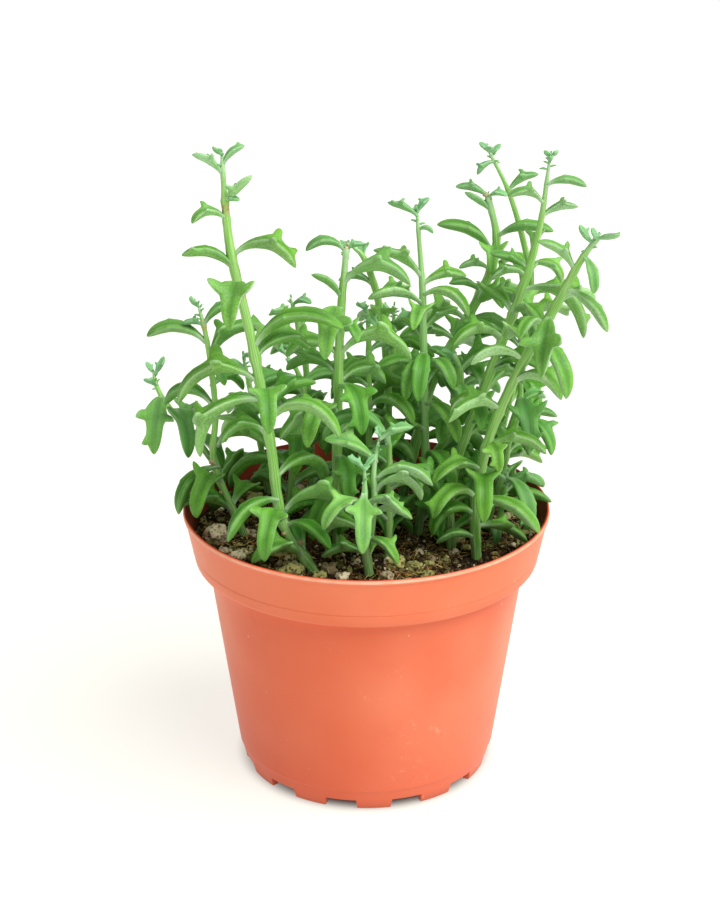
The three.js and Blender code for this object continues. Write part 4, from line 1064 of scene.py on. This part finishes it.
def soilSide(z):
    low = potShape["lipFoot"] + potShape["wall"]
    share = (z - low) / (potShape["height"] - low)
    return mix(potShape["lipFootRadius"], potShape["rimRadius"], share) - potShape["wall"] - soilShape["gap"]


def soilTurn():
    return 2 * np.pi * np.arange(soilFinish["columns"]) / soilFinish["columns"]


def soilGrid():
    share = np.linspace(0, 1, soilFinish["rings"] + 1)[1:] ** soilFinish["ringPower"]
    outer, turn, edge = soilSide(soilShape["edge"]), soilTurn(), soilFinish["smoothEdge"]
    x = outer * share[:, None] * np.cos(turn)
    y = outer * share[:, None] * np.sin(turn)
    relief = np.array([[fineHeight(a, b) for a, b in zip(*row)] for row in zip(x, y)])
    z = soilHeight(x, y) + relief * (1 - smooth((share[:, None] - (1 - edge)) / edge))
    return np.stack([x, y, z], 2).reshape(-1, 3)


def makeSoil(peat):
    rings, sides = soilFinish["rings"], soilFinish["columns"]
    points, turn = soilGrid(), soilTurn()
    middle, after = len(points), [(k + 1) % sides for k in range(sides)]
    faces = ringFaces(rings, sides) + [(middle, k, after[k]) for k in range(sides)]
    centre = np.array([0, 0, soilHeight(0, 0) + fineHeight(0, 0)])
    ground = {"points": np.vstack([points, centre]), "faces": list(faces)}
    inset = potShape["wall"] + soilShape["gap"]
    floor = potShape["floorTop"] + soilShape["gap"]
    heel = potShape["heelRadius"] - inset
    side = [(potShape["lipFootRadius"] - inset, potShape["lipFoot"] + inset),
            (potShape["shoulderRadius"] - inset, potShape["lipFoot"] + inset),
            (heel, potShape["heelHeight"]), (heel - soilFinish["floorIn"], floor)]
    lower = [np.stack([r * np.cos(turn), r * np.sin(turn), np.full(sides, z)], 1) for r, z in side]
    whole = np.vstack([ground["points"], *lower, [0, 0, floor]])
    starts = [(rings - 1) * sides] + [middle + 1 + level * sides for level in range(len(side))]
    for upper, below in zip(starts, starts[1:]):
        faces += [(upper + after[k], upper + k, below + k, below + after[k]) for k in range(sides)]
    faces += [(len(whole) - 1, starts[-1] + after[k], starts[-1] + k) for k in range(sides)]
    addPiece("soil_bed", makeMesh("soil_bed", {"points": whole, "faces": faces}), [peat], "soil")
    print("soil:", len(faces), "faces")
    return ground


def roundLump(width, detail, rough, seed, flat):
    shell = bmesh.new()
    bmesh.ops.create_icosphere(shell, subdivisions=detail, radius=0.5)
    shift = Vector([seed * step for step in grainWaves["apart"]])

    def wave(place, which):
        tight, strong = grainWaves[which]
        return strong * rough * noise.noise(place * tight + shift)

    points = []
    for corner in shell.verts:
        place = corner.co
        swell = 1 + wave(place, "broad") + wave(place, "knobs")
        if detail > 2:
            swell -= max(0, wave(place, "pits")) + wave(place, "grain")
        points.append((place.x * swell, place.y * swell, place.z * swell * flat))
    faces = [tuple(corner.index for corner in face.verts) for face in shell.faces]
    shell.free()
    return {"points": np.array(points) * width, "faces": faces}


def fibre(draw):
    steps, sides = fibreShape["steps"], fibreShape["sides"]
    bend, twist = fibreShape["bend"] * (draw() - 0.5), fibreShape["twist"] * (draw() - 0.5)
    points = []
    for k in range(steps):
        run = k / (steps - 1) - 0.5
        middle = np.array([run, bend * (4 * run * run - 0.5), fibreShape["lift"] + twist * run * run])
        for corner in range(sides):
            angle = 2 * math.pi * corner / sides
            ring = np.array([0, math.cos(angle), math.sin(angle)])
            points.append(middle + fibreShape["wide"] * (1 - abs(run)) * ring)
    last = (steps - 1) * sides
    faces = ringFaces(steps, sides) + [tuple(reversed(range(sides))), tuple(range(last, last + sides))]
    return {"points": np.array(points), "faces": faces}


def chip(draw):
    sides, (long, longMore), (wide, wideMore) = (chipShape[key] for key in ("sides", "long", "wide"))
    outline = [(math.cos(angle) * (long + longMore * draw()), math.sin(angle) * (wide + wideMore * draw()))
               for angle in 2 * math.pi * np.arange(sides) / sides]
    points = [(x, y, z) for z in chipShape["levels"] for x, y in outline]
    ends = [tuple(reversed(range(sides))), tuple(range(sides, 2 * sides))]
    return {"points": np.array(points), "faces": ringFaces(2, sides) + ends}


def grainPart(kind, draw):
    if kind == "chip":
        return chip(draw)
    if kind == "fibre":
        return fibre(draw)
    detail, rough, flat = grainShapes[kind]
    return roundLump(1, detail, rough, grainWaves["seeds"] * draw(), flat)


def grainsOf(kind):
    draw = makeDraw(scatter["shapeSeed"])
    group = bpy.data.collections.new(kind)
    for k in range(scatter["shapes"]):
        mesh = makeMesh(f"{kind}_{k}", grainPart(kind, draw))
        if kind != "stone":
            mesh.shade_flat()
        group.objects.link(bpy.data.objects.new(mesh.name, mesh))
    return group


def makeScatterTree():
    tree, given, result = makeTree(
        "scatter", "GeometryNodeTree",
        [("Ground", "Geometry", None), ("Grains", "Collection", None), ("Density", "Float", 100.0),
         ("Smallest", "Float", 1.0), ("Largest", "Float", 2.0), ("Tilt", "Float", 0.2),
         ("Reach", "Float", 0.07), ("Patch Scale", "Float", 40.0), ("Seed", "Int", 0),
         ("Material", "Material", None)],
        [("Litter", "Geometry")])
    source = given.outputs
    here = put(tree, "GeometryNodeInputPosition").outputs[0]
    cloud = put(tree, "ShaderNodeTexNoise",
                {"Vector": here, "Scale": source["Patch Scale"], "Detail": scatter["patchDetail"]})
    low, high = scatter["patches"]
    patch = put(tree, "ShaderNodeMapRange", {0: cloud.outputs["Fac"], 1: low, 2: high}).outputs[0]
    points = put(tree, "GeometryNodeDistributePointsOnFaces",
                 {"Mesh": source["Ground"], "Density": product(tree, source["Density"], patch),
                  "Seed": source["Seed"]}, distribute_method="RANDOM")
    sized = put(tree, "FunctionNodeRandomValue",
                {2: source["Smallest"], 3: source["Largest"], "Seed": source["Seed"]}, data_type="FLOAT")
    size = sized.outputs[1]
    lean, back = source["Tilt"], product(tree, source["Tilt"], -1.0)
    least = put(tree, "ShaderNodeCombineXYZ", {0: back, 1: back, 2: 0.0})
    most = put(tree, "ShaderNodeCombineXYZ", {0: lean, 1: lean, 2: 2 * math.pi})
    turn = put(tree, "FunctionNodeRandomValue",
               {0: least.outputs[0], 1: most.outputs[0], "Seed": source["Seed"]}, data_type="FLOAT_VECTOR")
    out = calculate(tree, "ADD", fromAxis(tree, here), product(tree, size, 0.5 * milli))
    inside = calculate(tree, "LESS_THAN", out, source["Reach"])
    grains = put(tree, "GeometryNodeCollectionInfo",
                 {"Collection": source["Grains"], "Separate Children": True, "Reset Children": True})
    placed = put(tree, "GeometryNodeInstanceOnPoints",
                 {"Points": points.outputs["Points"], "Selection": inside, "Instance": grains.outputs[0],
                  "Pick Instance": True, "Rotation": turn.outputs[0], "Scale": size})
    tone = put(tree, "FunctionNodeRandomValue", {2: 0.0, 3: 1.0, "Seed": scatter["toneSeed"]},
               data_type="FLOAT")
    marked = put(tree, "GeometryNodeStoreNamedAttribute",
                 {"Geometry": placed.outputs[0], "Name": "tone", "Value": tone.outputs[1]},
                 data_type="FLOAT", domain="INSTANCE")
    finishTree(tree, marked.outputs[0], source["Material"], result)
    return tree


def makeLitter(ground, finishes):
    tree = makeScatterTree()
    total = 0
    for name, kind, count, (smallest, largest), tilt, patchScale, seed in litter:
        grains = grainsOf(kind)
        mesh = growMesh(name, addHost(makeMesh(name + "_ground", ground)), tree,
                        {"Grains": grains, "Density": count / soilFinish["area"], "Smallest": smallest,
                         "Largest": largest, "Tilt": tilt, "Reach": soilSide(soilShape["edge"]) * milli,
                         "Patch Scale": patchScale, "Seed": seed, "Material": finishes[kind]})
        for grain in list(grains.objects):
            bpy.data.objects.remove(grain)
        bpy.data.collections.remove(grains)
        addPiece(name, mesh, [finishes[kind]])
        total += len(mesh.polygons)
    print("litter:", total, "faces")


def makeStones(finishes):
    look = stoneShape
    start, step = look["tone"]
    for kind in dict.fromkeys(finishKind for *_, finishKind in stones):
        parts = []
        for k, (x, y, width, finishKind) in enumerate(stones):
            if finishKind != kind:
                continue
            lump = roundLump(width, look["detail"], look["rough"], k + 1, look["flat"])
            lump["points"] = lump["points"] + np.array([x, y, soilHeight(x, y) + look["lift"] * width])
            lump["tone"] = np.full(len(lump["points"]), (start + step * k) % 1)
            parts.append(lump)
        addPiece(kind + "_lumps", makeMesh(kind + "_lumps", joinParts(parts)), [finishes[kind]])
    print("lumps:", len(stones))


# Materials. A cloud is (scale, detail, roughness of its noise, where it starts to show, where it is full), a
# fade is (from, to), and a share says how much of a colour goes on. Heights are in metres where no note says
# otherwise.
# Of these colours, lip is painted light, edge a painted highlight, rim painted shade on the rim's flat top,
# inside painted shade on the inner wall, and deep is also laid as painted shade towards the foot.
potLook = {"base": "#ea6e48", "warm": "#f3835f", "deep": "#d44f2a", "lip": "#fb8a60", "mark": "#f9c2aa",
           "edge": "#ffc3a4", "rim": "#f2603a", "inside": "#741d0e", "lowInside": "#4c2c1c",
           "shine": 0.3, "roughCloud": (90.0, 5.0, 0.7, 0.36, 0.5), "markRough": 0.3,
           "warmCloud": (14.0, 2.0, 0.5, 0.35, 0.68), "deepCloud": (40.0, 5.0, 0.65, 0.55, 0.75),
           # the deep cloud's share, then painted shade: the pot turns deeper towards its foot over these
           # heights
           "deepShare": 0.1, "footShadeFade": (0.06, 0.0), "footShadeShare": 0.5,
           # painted light: the lip turns paler and warmer towards its top over these heights
           "lipLightFade": (0.088, 0.1), "lipLightShare": 0.45,
           "chalkCloud": (150.0, 6.0, 0.8, 0.56, 0.7), "chalkPlaces": (24.0, 1.0, 0.5, 0.56, 0.68),
           "chalkShare": 0.4, "dots": {"Scale": 420.0, "Size": 0.3, "Share": 0.006}, "dotShare": 0.45,
           # the rim's flat top in painted shade and a painted highlight along the bead's outer edge, in mm
           # from the top, the bead's foot and the rim
           "shadedLand": 0.25, "shadedLandShare": 0.7, "edgeRise": (0.8, 1.2), "edgeEnd": (0.3, 0.65), "edgeIn": 0.5,
           "highlightCloud": (120.0, 4.0, 0.7, 0.35, 0.65), "highlightStrength": (0.4, 0.5),
           # the inside wall in painted shade, from this height up and this many mm in from the wall's line,
           # and a line that wanders above the soil, below which the inside turns darker still
           "insideFrom": 0.1, "insideGap": 0.6, "insideShadeShare": 0.85, "lowInsideCloud": (150.0, 4.0, 0.5),
           "lowInsideWander": 0.012, "lowInsideFade": (0.115, 0.106), "lowInsideShare": 0.75,
           "glow": (0.08, (1.0, 0.35, 0.2), 0.002), "grain": (900.0, 2.0, 0.5), "relief": (0.06, 0.0002)}
leafLook = {"deep": "#145602", "body": "#5ab614", "light": "#aae256", "pale": "#def4d6", "young": "#94ca9a",
            "cool": "#5fb46c", "groove": "#236312", "shine": 0.24,
            "bodyShare": 0.45, "coolTurns": 5.7, "coolShare": 0.22,
            "fine": {"Across": 2.6, "Along": 0.35, "Low": 0.38, "High": 0.68}, "fineShare": 0.3,
            "veins": {"Across": 5.5, "Along": 0.9, "Low": 0.35, "High": 0.65},
            "blotCloud": (75.0, 2.0, 0.5, 0.36, 0.72), "blotShare": 0.4, "upperShare": 0.14,
            # the pale bloom: more of it on pale leaves and below, in fine dots and along the veins
            "powderFade": (0.35, 0.95), "powder": (0.9, 0.1), "bloomCloud": (1300.0, 3.0, 0.65, 0.42, 0.68),
            "bloomBelow": 0.5, "bloomByTone": 0.2, "bloomByYouth": -0.8, "veinPowder": (0.62, 0.14),
            # the dark groove along the middle, the pale edges and the pale stalk
            "grooveFade": (0.6, 0.15), "grooveStart": (0.08, 0.3), "grooveEnd": (1.0, 0.75),
            "grooveShare": 0.42,
            "edgeFade": (0.92, 1.0), "edgeShare": 0.4, "stalkFade": (0.28, 0.0), "stalkShare": 0.65,
            "youngShare": 0.65, "scarShare": 0.9, "scabFade": (0.85, 1.0),
            "roughCloud": (1.6, 3.0, 0.5, 0.3, 0.44), "youngRough": 0.16,
            "glow": (0.1, (0.5, 1.0, 0.25), 0.003), "relief": (0.22, 0.0003)}
stemLook = {"body": "#7cbd48", "light": "#d0ecaa", "deep": "#44861e", "young": "#b9dfae",
            "scab": "#54402c", "scar": "#c09a66", "roughness": 0.45, "shine": 0.4,
            "lines": {"Across": 2.6, "Along": 0.8, "Low": 0.4, "High": 0.62}, "lineShare": 0.5,
            "rootFade": (0.1, 0.45), "youngShare": 0.75, "crustCloud": (700.0, 4.0, 0.7, 0.35, 0.65),
            "crustMore": 0.3, "scarFade": (0.15, 0.6), "scarShare": 0.8, "scabFade": (0.6, 0.9),
            "glow": (0.1, (0.5, 1.0, 0.25), 0.002), "relief": (0.12, 0.0003)}
# Loose pieces: low and high colours, size of their grain, roughness and relief
looseLook = {"crumb": ("#130b06", "#6b5a34", 900.0, 0.95, 0.8),
             "chip": ("#4a2f1b", "#a5713c", 500.0, 0.8, 0.4),
             "fibre": ("#5d4a22", "#dcb565", 300.0, 0.75, 0.3),
             "stone": ("#6b5226", "#efdfb8", 600.0, 0.9, 1.2),
             "tuft": ("#37370f", "#bdb671", 650.0, 0.95, 1.2)}
looseMix = {"shine": 0.25, "detail": (4.0, 0.6), "byTone": 0.65, "byCloud": 0.45, "fade": (0.12, 0.7),
            "pitScale": 1.3, "pits": {"Size": 0.6, "Share": 0.4}, "pitShare": 0.8, "pitDepth": 0.5,
            "reliefDistance": 0.0005}
peatLook = {"low": "#0c0704", "high": "#382416", "fleck": "#a98b5c", "roughness": 0.95, "shine": 0.2,
            "cloud": (420.0, 6.0, 0.7), "fade": (0.35, 0.7), "fleckShare": 0.7,
            "flecks": {"Scale": 900.0, "Size": 0.35, "Share": 0.08}, "relief": (0.8, 0.0008)}


def makeStreaks():
    tree, given, result = makeTree("streaks", "ShaderNodeTree",
                                   [("Vector", "Vector", None), ("Across", "Float", 6.0),
                                    ("Along", "Float", 0.4), ("Low", "Float", 0.4), ("High", "Float", 0.65)],
                                   [("Mask", "Float")])
    source = given.outputs
    across, along = source["Across"], source["Along"]
    stretch = put(tree, "ShaderNodeCombineXYZ", {0: across, 1: across, 2: along})
    scaled = put(tree, "ShaderNodeVectorMath", {0: source["Vector"], 1: stretch.outputs[0]},
                 operation="MULTIPLY")
    cloud = put(tree, "ShaderNodeTexNoise", {"Vector": scaled.outputs[0], "Scale": 1.0, "Detail": 3.0})
    tree.links.new(rampOf(tree, cloud.outputs["Fac"], source["Low"], source["High"]), result.inputs[0])
    return tree


def makeSpeckle():
    tree, given, result = makeTree("speckle", "ShaderNodeTree",
                                   [("Vector", "Vector", None), ("Scale", "Float", 300.0),
                                    ("Size", "Float", 0.2), ("Share", "Float", 0.3)],
                                   [("Mask", "Float")])
    source = given.outputs
    cells = put(tree, "ShaderNodeTexVoronoi", {"Vector": source["Vector"], "Scale": source["Scale"]})
    dot = rampOf(tree, calculate(tree, "DIVIDE", cells.outputs["Distance"], source["Size"]), 1.0, 0.5)
    chance = put(tree, "ShaderNodeSeparateColor", {0: cells.outputs["Color"]}).outputs[0]
    rare = calculate(tree, "LESS_THAN", chance, source["Share"])
    tree.links.new(product(tree, dot, rare), result.inputs[0])
    return tree


def startMaterial(name, shine, roughness=0.5):
    material = bpy.data.materials.new(name)
    material.use_nodes = True
    tree = material.node_tree
    surface = tree.nodes["Principled BSDF"]
    surface.inputs["Roughness"].default_value = roughness
    surface.inputs["Specular IOR Level"].default_value = shine
    return material, tree, surface


def spotOf(tree):
    return put(tree, "ShaderNodeTexCoord").outputs["Object"]


def readAttribute(tree, name, output="Vector"):
    return put(tree, "ShaderNodeAttribute", attribute_name=name).outputs[output]


def cloudAt(tree, vector, scale, detail, roughness):
    return put(tree, "ShaderNodeTexNoise",
               {"Vector": vector, "Scale": scale, "Detail": detail, "Roughness": roughness}).outputs["Fac"]


def patches(tree, vector, cloud):
    scale, detail, roughness, low, high = cloud
    return rampOf(tree, cloudAt(tree, vector, scale, detail, roughness), low, high)


def useGroup(tree, group, vector, inputs):
    return put(tree, "ShaderNodeGroup", {"Vector": vector, **inputs}, node_tree=group).outputs[0]


# Lays coats over a first colour, each (how much of it shows, its colour)
def layColours(tree, surface, first, coats):
    colour = paint(first)
    for share, code in coats:
        coat = put(tree, "ShaderNodeMix", {0: share, 6: colour, 7: paint(code)}, data_type="RGBA")
        colour = coat.outputs[2]
    tree.links.new(colour, surface.inputs["Base Color"])


def varyRoughness(tree, surface, vector, cloud, more):
    scale, detail, roughness, smoothest, roughest = cloud
    patch = cloudAt(tree, vector, scale, detail, roughness)
    rough = put(tree, "ShaderNodeMapRange", {0: patch, 3: smoothest, 4: roughest}).outputs[0]
    tree.links.new(calculate(tree, "ADD", rough, more), surface.inputs["Roughness"])


def letGlow(surface, glow):
    for key, value in zip(("Weight", "Radius", "Scale"), glow):
        surface.inputs["Subsurface " + key].default_value = value


def raiseBy(tree, surface, height, strength, distance):
    bump = put(tree, "ShaderNodeBump", {"Height": height, "Strength": strength, "Distance": distance})
    tree.links.new(bump.outputs[0], surface.inputs["Normal"])


# How far a spot lies on the inner side of the lip's wall and above its foot, as 0 or 1
def potInside(tree, flat, z):
    shape, look = potShape, potLook
    slope = (shape["rimRadius"] - shape["lipFootRadius"]) / (shape["height"] - shape["lipFoot"])
    start = (shape["lipFootRadius"] - slope * shape["lipFoot"]) * milli
    wall = calculate(tree, "MULTIPLY_ADD", z, slope, start)
    wall = calculate(tree, "SUBTRACT", wall, look["insideGap"] * milli)
    return product(tree, calculate(tree, "LESS_THAN", flat, wall),
                   calculate(tree, "GREATER_THAN", z, look["insideFrom"]))


# A painted highlight: a pale line round the outer edge of the rim's bead, broken up by a cloud
def rimHighlight(tree, spot, flat, z):
    shape, look = potShape, potLook
    top, bead = shape["height"], shape["height"] - shape["beadHeight"]
    rise = rampOf(tree, z, *[(bead + step) * milli for step in look["edgeRise"]])
    end = rampOf(tree, z, *[(top - step) * milli for step in look["edgeEnd"]])
    outer = calculate(tree, "GREATER_THAN", flat, (shape["rimRadius"] - look["edgeIn"]) * milli)
    highlightStrength = calculate(tree, "MULTIPLY_ADD", patches(tree, spot, look["highlightCloud"]), *look["highlightStrength"])
    return product(tree, rise, end, outer, highlightStrength)


def makePlastic(speckle):
    look = potLook
    material, tree, surface = startMaterial("coralPlastic", look["shine"])
    spot = spotOf(tree)
    z, flat = axesOf(tree, spot)[2], fromAxis(tree, spot)
    chalk = product(tree, patches(tree, spot, look["chalkCloud"]), patches(tree, spot, look["chalkPlaces"]),
                    look["chalkShare"])
    dots = product(tree, useGroup(tree, speckle, spot, look["dots"]), look["dotShare"])
    marks = calculate(tree, "MAXIMUM", chalk, dots)
    # painted shade: the rim's flat top
    shadedLand = calculate(tree, "GREATER_THAN", z, (potShape["height"] - look["shadedLand"]) * milli)
    inside = potInside(tree, flat, z)
    # the inside turns darker below a line that wanders above the soil
    wander = product(tree, cloudAt(tree, spot, *look["lowInsideCloud"]), look["lowInsideWander"])
    lowInsideMask = rampOf(tree, calculate(tree, "ADD", z, wander), *look["lowInsideFade"])
    layColours(tree, surface, look["base"], [
        (patches(tree, spot, look["warmCloud"]), look["warm"]),
        (product(tree, patches(tree, spot, look["deepCloud"]), look["deepShare"]), look["deep"]),
        # painted shade, deeper towards the foot
        (product(tree, rampOf(tree, z, *look["footShadeFade"]), look["footShadeShare"]), look["deep"]),
        # painted light, paler towards the lip's top
        (product(tree, rampOf(tree, z, *look["lipLightFade"]), look["lipLightShare"]), look["lip"]),
        (marks, look["mark"]),
        # painted shade on the rim's flat top
        (product(tree, shadedLand, look["shadedLandShare"]), look["rim"]),
        # painted highlight round the outer edge of the rim's bead
        (rimHighlight(tree, spot, flat, z), look["edge"]),
        # painted shade on the inner wall
        (product(tree, inside, look["insideShadeShare"]), look["inside"]),
        # darker still below the wandering line above the soil
        (product(tree, lowInsideMask, inside, look["lowInsideShare"]), look["lowInside"])])
    varyRoughness(tree, surface, spot, look["roughCloud"], product(tree, marks, look["markRough"]))
    letGlow(surface, look["glow"])
    raiseBy(tree, surface, cloudAt(tree, spot, *look["grain"]), *look["relief"])
    return material


def makeLeafSkin(streaks):
    look = leafLook
    material, tree, surface = startMaterial("leafSkin", look["shine"])
    skin, spot = readAttribute(tree, "skin"), spotOf(tree)
    youth, tone, scar = axesOf(tree, readAttribute(tree, "growth"))
    across, run, under = axesOf(tree, readAttribute(tree, "blade"))
    upper = calculate(tree, "SUBTRACT", 1.0, under)
    chance = calculate(tree, "FRACT", product(tree, tone, look["coolTurns"]))
    fine = useGroup(tree, streaks, skin, look["fine"])
    veins = useGroup(tree, streaks, skin, look["veins"])
    powdery = calculate(tree, "MULTIPLY_ADD", rampOf(tree, tone, *look["powderFade"]), *look["powder"])
    powder = product(tree, under, powdery)
    byTone = product(tree, tone, look["bloomByTone"])
    amount = calculate(tree, "MULTIPLY_ADD", powder, look["bloomBelow"], byTone)
    grown = calculate(tree, "MULTIPLY_ADD", youth, look["bloomByYouth"], 1.0)
    bloom = product(tree, patches(tree, spot, look["bloomCloud"]), amount, grown)
    groove = product(tree, rampOf(tree, across, *look["grooveFade"]), upper,
                     rampOf(tree, run, *look["grooveStart"]), rampOf(tree, run, *look["grooveEnd"]),
                     look["grooveShare"])
    veinPowder = product(tree, powder, calculate(tree, "MULTIPLY_ADD", veins, *look["veinPowder"]))
    layColours(tree, surface, look["deep"], [
        (tone, look["light"]),
        (look["bodyShare"], look["body"]),
        (product(tree, chance, look["coolShare"]), look["cool"]),
        (product(tree, fine, look["fineShare"]), look["light"]),
        (product(tree, patches(tree, spot, look["blotCloud"]), look["blotShare"]), look["deep"]),
        (product(tree, upper, look["upperShare"]), look["deep"]),
        (bloom, look["pale"]),
        (groove, look["groove"]),
        (product(tree, rampOf(tree, across, *look["edgeFade"]), tone, look["edgeShare"]), look["pale"]),
        (veinPowder, look["pale"]),
        (product(tree, rampOf(tree, run, *look["stalkFade"]), look["stalkShare"]), look["pale"]),
        (product(tree, youth, look["youngShare"]), look["young"]),
        (product(tree, scar, look["scarShare"]), stemLook["scar"]),
        (rampOf(tree, scar, *look["scabFade"]), stemLook["scab"])])
    varyRoughness(tree, surface, skin, look["roughCloud"], product(tree, youth, look["youngRough"]))
    letGlow(surface, look["glow"])
    raiseBy(tree, surface, calculate(tree, "ADD", veins, bloom), *look["relief"])
    return material


def makeStemSkin(streaks):
    look = stemLook
    material, tree, surface = startMaterial("stemSkin", look["shine"], look["roughness"])
    skin = readAttribute(tree, "skin")
    youth, _, scar = axesOf(tree, readAttribute(tree, "growth"))
    share = axesOf(tree, readAttribute(tree, "blade"))[0]
    lines = useGroup(tree, streaks, skin, look["lines"])
    crust = calculate(tree, "ADD", patches(tree, spotOf(tree), look["crustCloud"]), look["crustMore"])
    patch = calculate(tree, "MULTIPLY", scar, crust, clamp=True)
    layColours(tree, surface, look["deep"], [
        (rampOf(tree, share, *look["rootFade"]), look["body"]),
        (product(tree, lines, look["lineShare"]), look["light"]),
        (product(tree, youth, look["youngShare"]), look["young"]),
        (product(tree, rampOf(tree, patch, *look["scarFade"]), look["scarShare"]), look["scar"]),
        (rampOf(tree, patch, *look["scabFade"]), look["scab"])])
    letGlow(surface, look["glow"])
    raiseBy(tree, surface, lines, *look["relief"])
    return material


def makeLoose(kind, speckle):
    low, high, grain, roughness, relief = looseLook[kind]
    look = looseMix
    material, tree, surface = startMaterial(kind + "Finish", look["shine"], roughness)
    spot = spotOf(tree)
    cloud = cloudAt(tree, spot, grain, *look["detail"])
    tone = product(tree, readAttribute(tree, "tone", "Fac"), look["byTone"])
    share = calculate(tree, "ADD", tone, product(tree, cloud, look["byCloud"]))
    pits = useGroup(tree, speckle, spot, {"Scale": grain * look["pitScale"], **look["pits"]})
    layColours(tree, surface, low, [(rampOf(tree, share, *look["fade"]), high),
                                    (product(tree, pits, look["pitShare"]), low)])
    height = calculate(tree, "SUBTRACT", cloud, product(tree, pits, look["pitDepth"]))
    raiseBy(tree, surface, height, relief, look["reliefDistance"])
    return material


def makePeat(speckle):
    look = peatLook
    material, tree, surface = startMaterial("peatBed", look["shine"], look["roughness"])
    spot = spotOf(tree)
    cloud = cloudAt(tree, spot, *look["cloud"])
    flecks = useGroup(tree, speckle, spot, look["flecks"])
    layColours(tree, surface, look["low"], [(rampOf(tree, cloud, *look["fade"]), look["high"]),
                                            (product(tree, flecks, look["fleckShare"]), look["fleck"])])
    raiseBy(tree, surface, cloud, *look["relief"])
    return material


# Floor and light, in metres. The floor glows faintly, but not under the foot: a painted shadow there, where
# the glow fades in between these two distances from the middle.
studio = {"floorSize": 50, "floorTone": "#8f9189", "floorGlow": "#fffdf6", "glowStrength": 0.8,
          "shade": (0.045, 0.058), "world": 0.31, "sun": 3.85, "sunAngle": 55, "sunFrom": (0.6, -0.36, 1.0)}


def setStudio():
    half = studio["floorSize"] / 2
    mesh = bpy.data.meshes.new("floor")
    corners = [(-half, -half, 0), (half, -half, 0), (half, half, 0), (-half, half, 0)]
    mesh.from_pydata(corners, [], [(0, 1, 2, 3)])
    floor = addHost(mesh)
    material, tree, surface = startMaterial("floorPaper", 0.0, 1.0)
    away = put(tree, "ShaderNodeVectorMath", {0: spotOf(tree)}, operation="LENGTH").outputs["Value"]
    # painted shadow: no glow under the foot, fading in outwards
    glow = product(tree, rampOf(tree, away, *studio["shade"]), studio["glowStrength"])
    tree.links.new(glow, surface.inputs["Emission Strength"])
    surface.inputs["Base Color"].default_value = paint(studio["floorTone"])
    surface.inputs["Emission Color"].default_value = paint(studio["floorGlow"])
    mesh.materials.append(material)
    world = bpy.data.worlds.new("softRoom")
    world.use_nodes = True
    background = world.node_tree.nodes["Background"]
    background.inputs["Strength"].default_value = studio["world"]
    background.inputs["Color"].default_value = (1, 1, 1, 1)
    bpy.context.scene.world = world
    sun = bpy.data.lights.new("window", "SUN")
    sun.energy, sun.angle = studio["sun"], math.radians(studio["sunAngle"])
    lamp = bpy.data.objects.new("window", sun)
    lamp.location = studio["sunFrom"]
    lamp.rotation_euler = Vector(studio["sunFrom"]).to_track_quat("Z", "Y").to_euler()
    bpy.context.scene.collection.objects.link(lamp)
    bpy.context.scene.view_settings.view_transform = "Standard"


streaks, speckle = makeStreaks(), makeSpeckle()
finishes = {kind: makeLoose(kind, speckle) for kind in looseLook}
makePlants(makeLeafSkin(streaks), makeStemSkin(streaks))
makePot(makePlastic(speckle))
ground = makeSoil(makePeat(speckle))
makeLitter(ground, finishes)
makeStones(finishes)
setCamera()
setStudio()
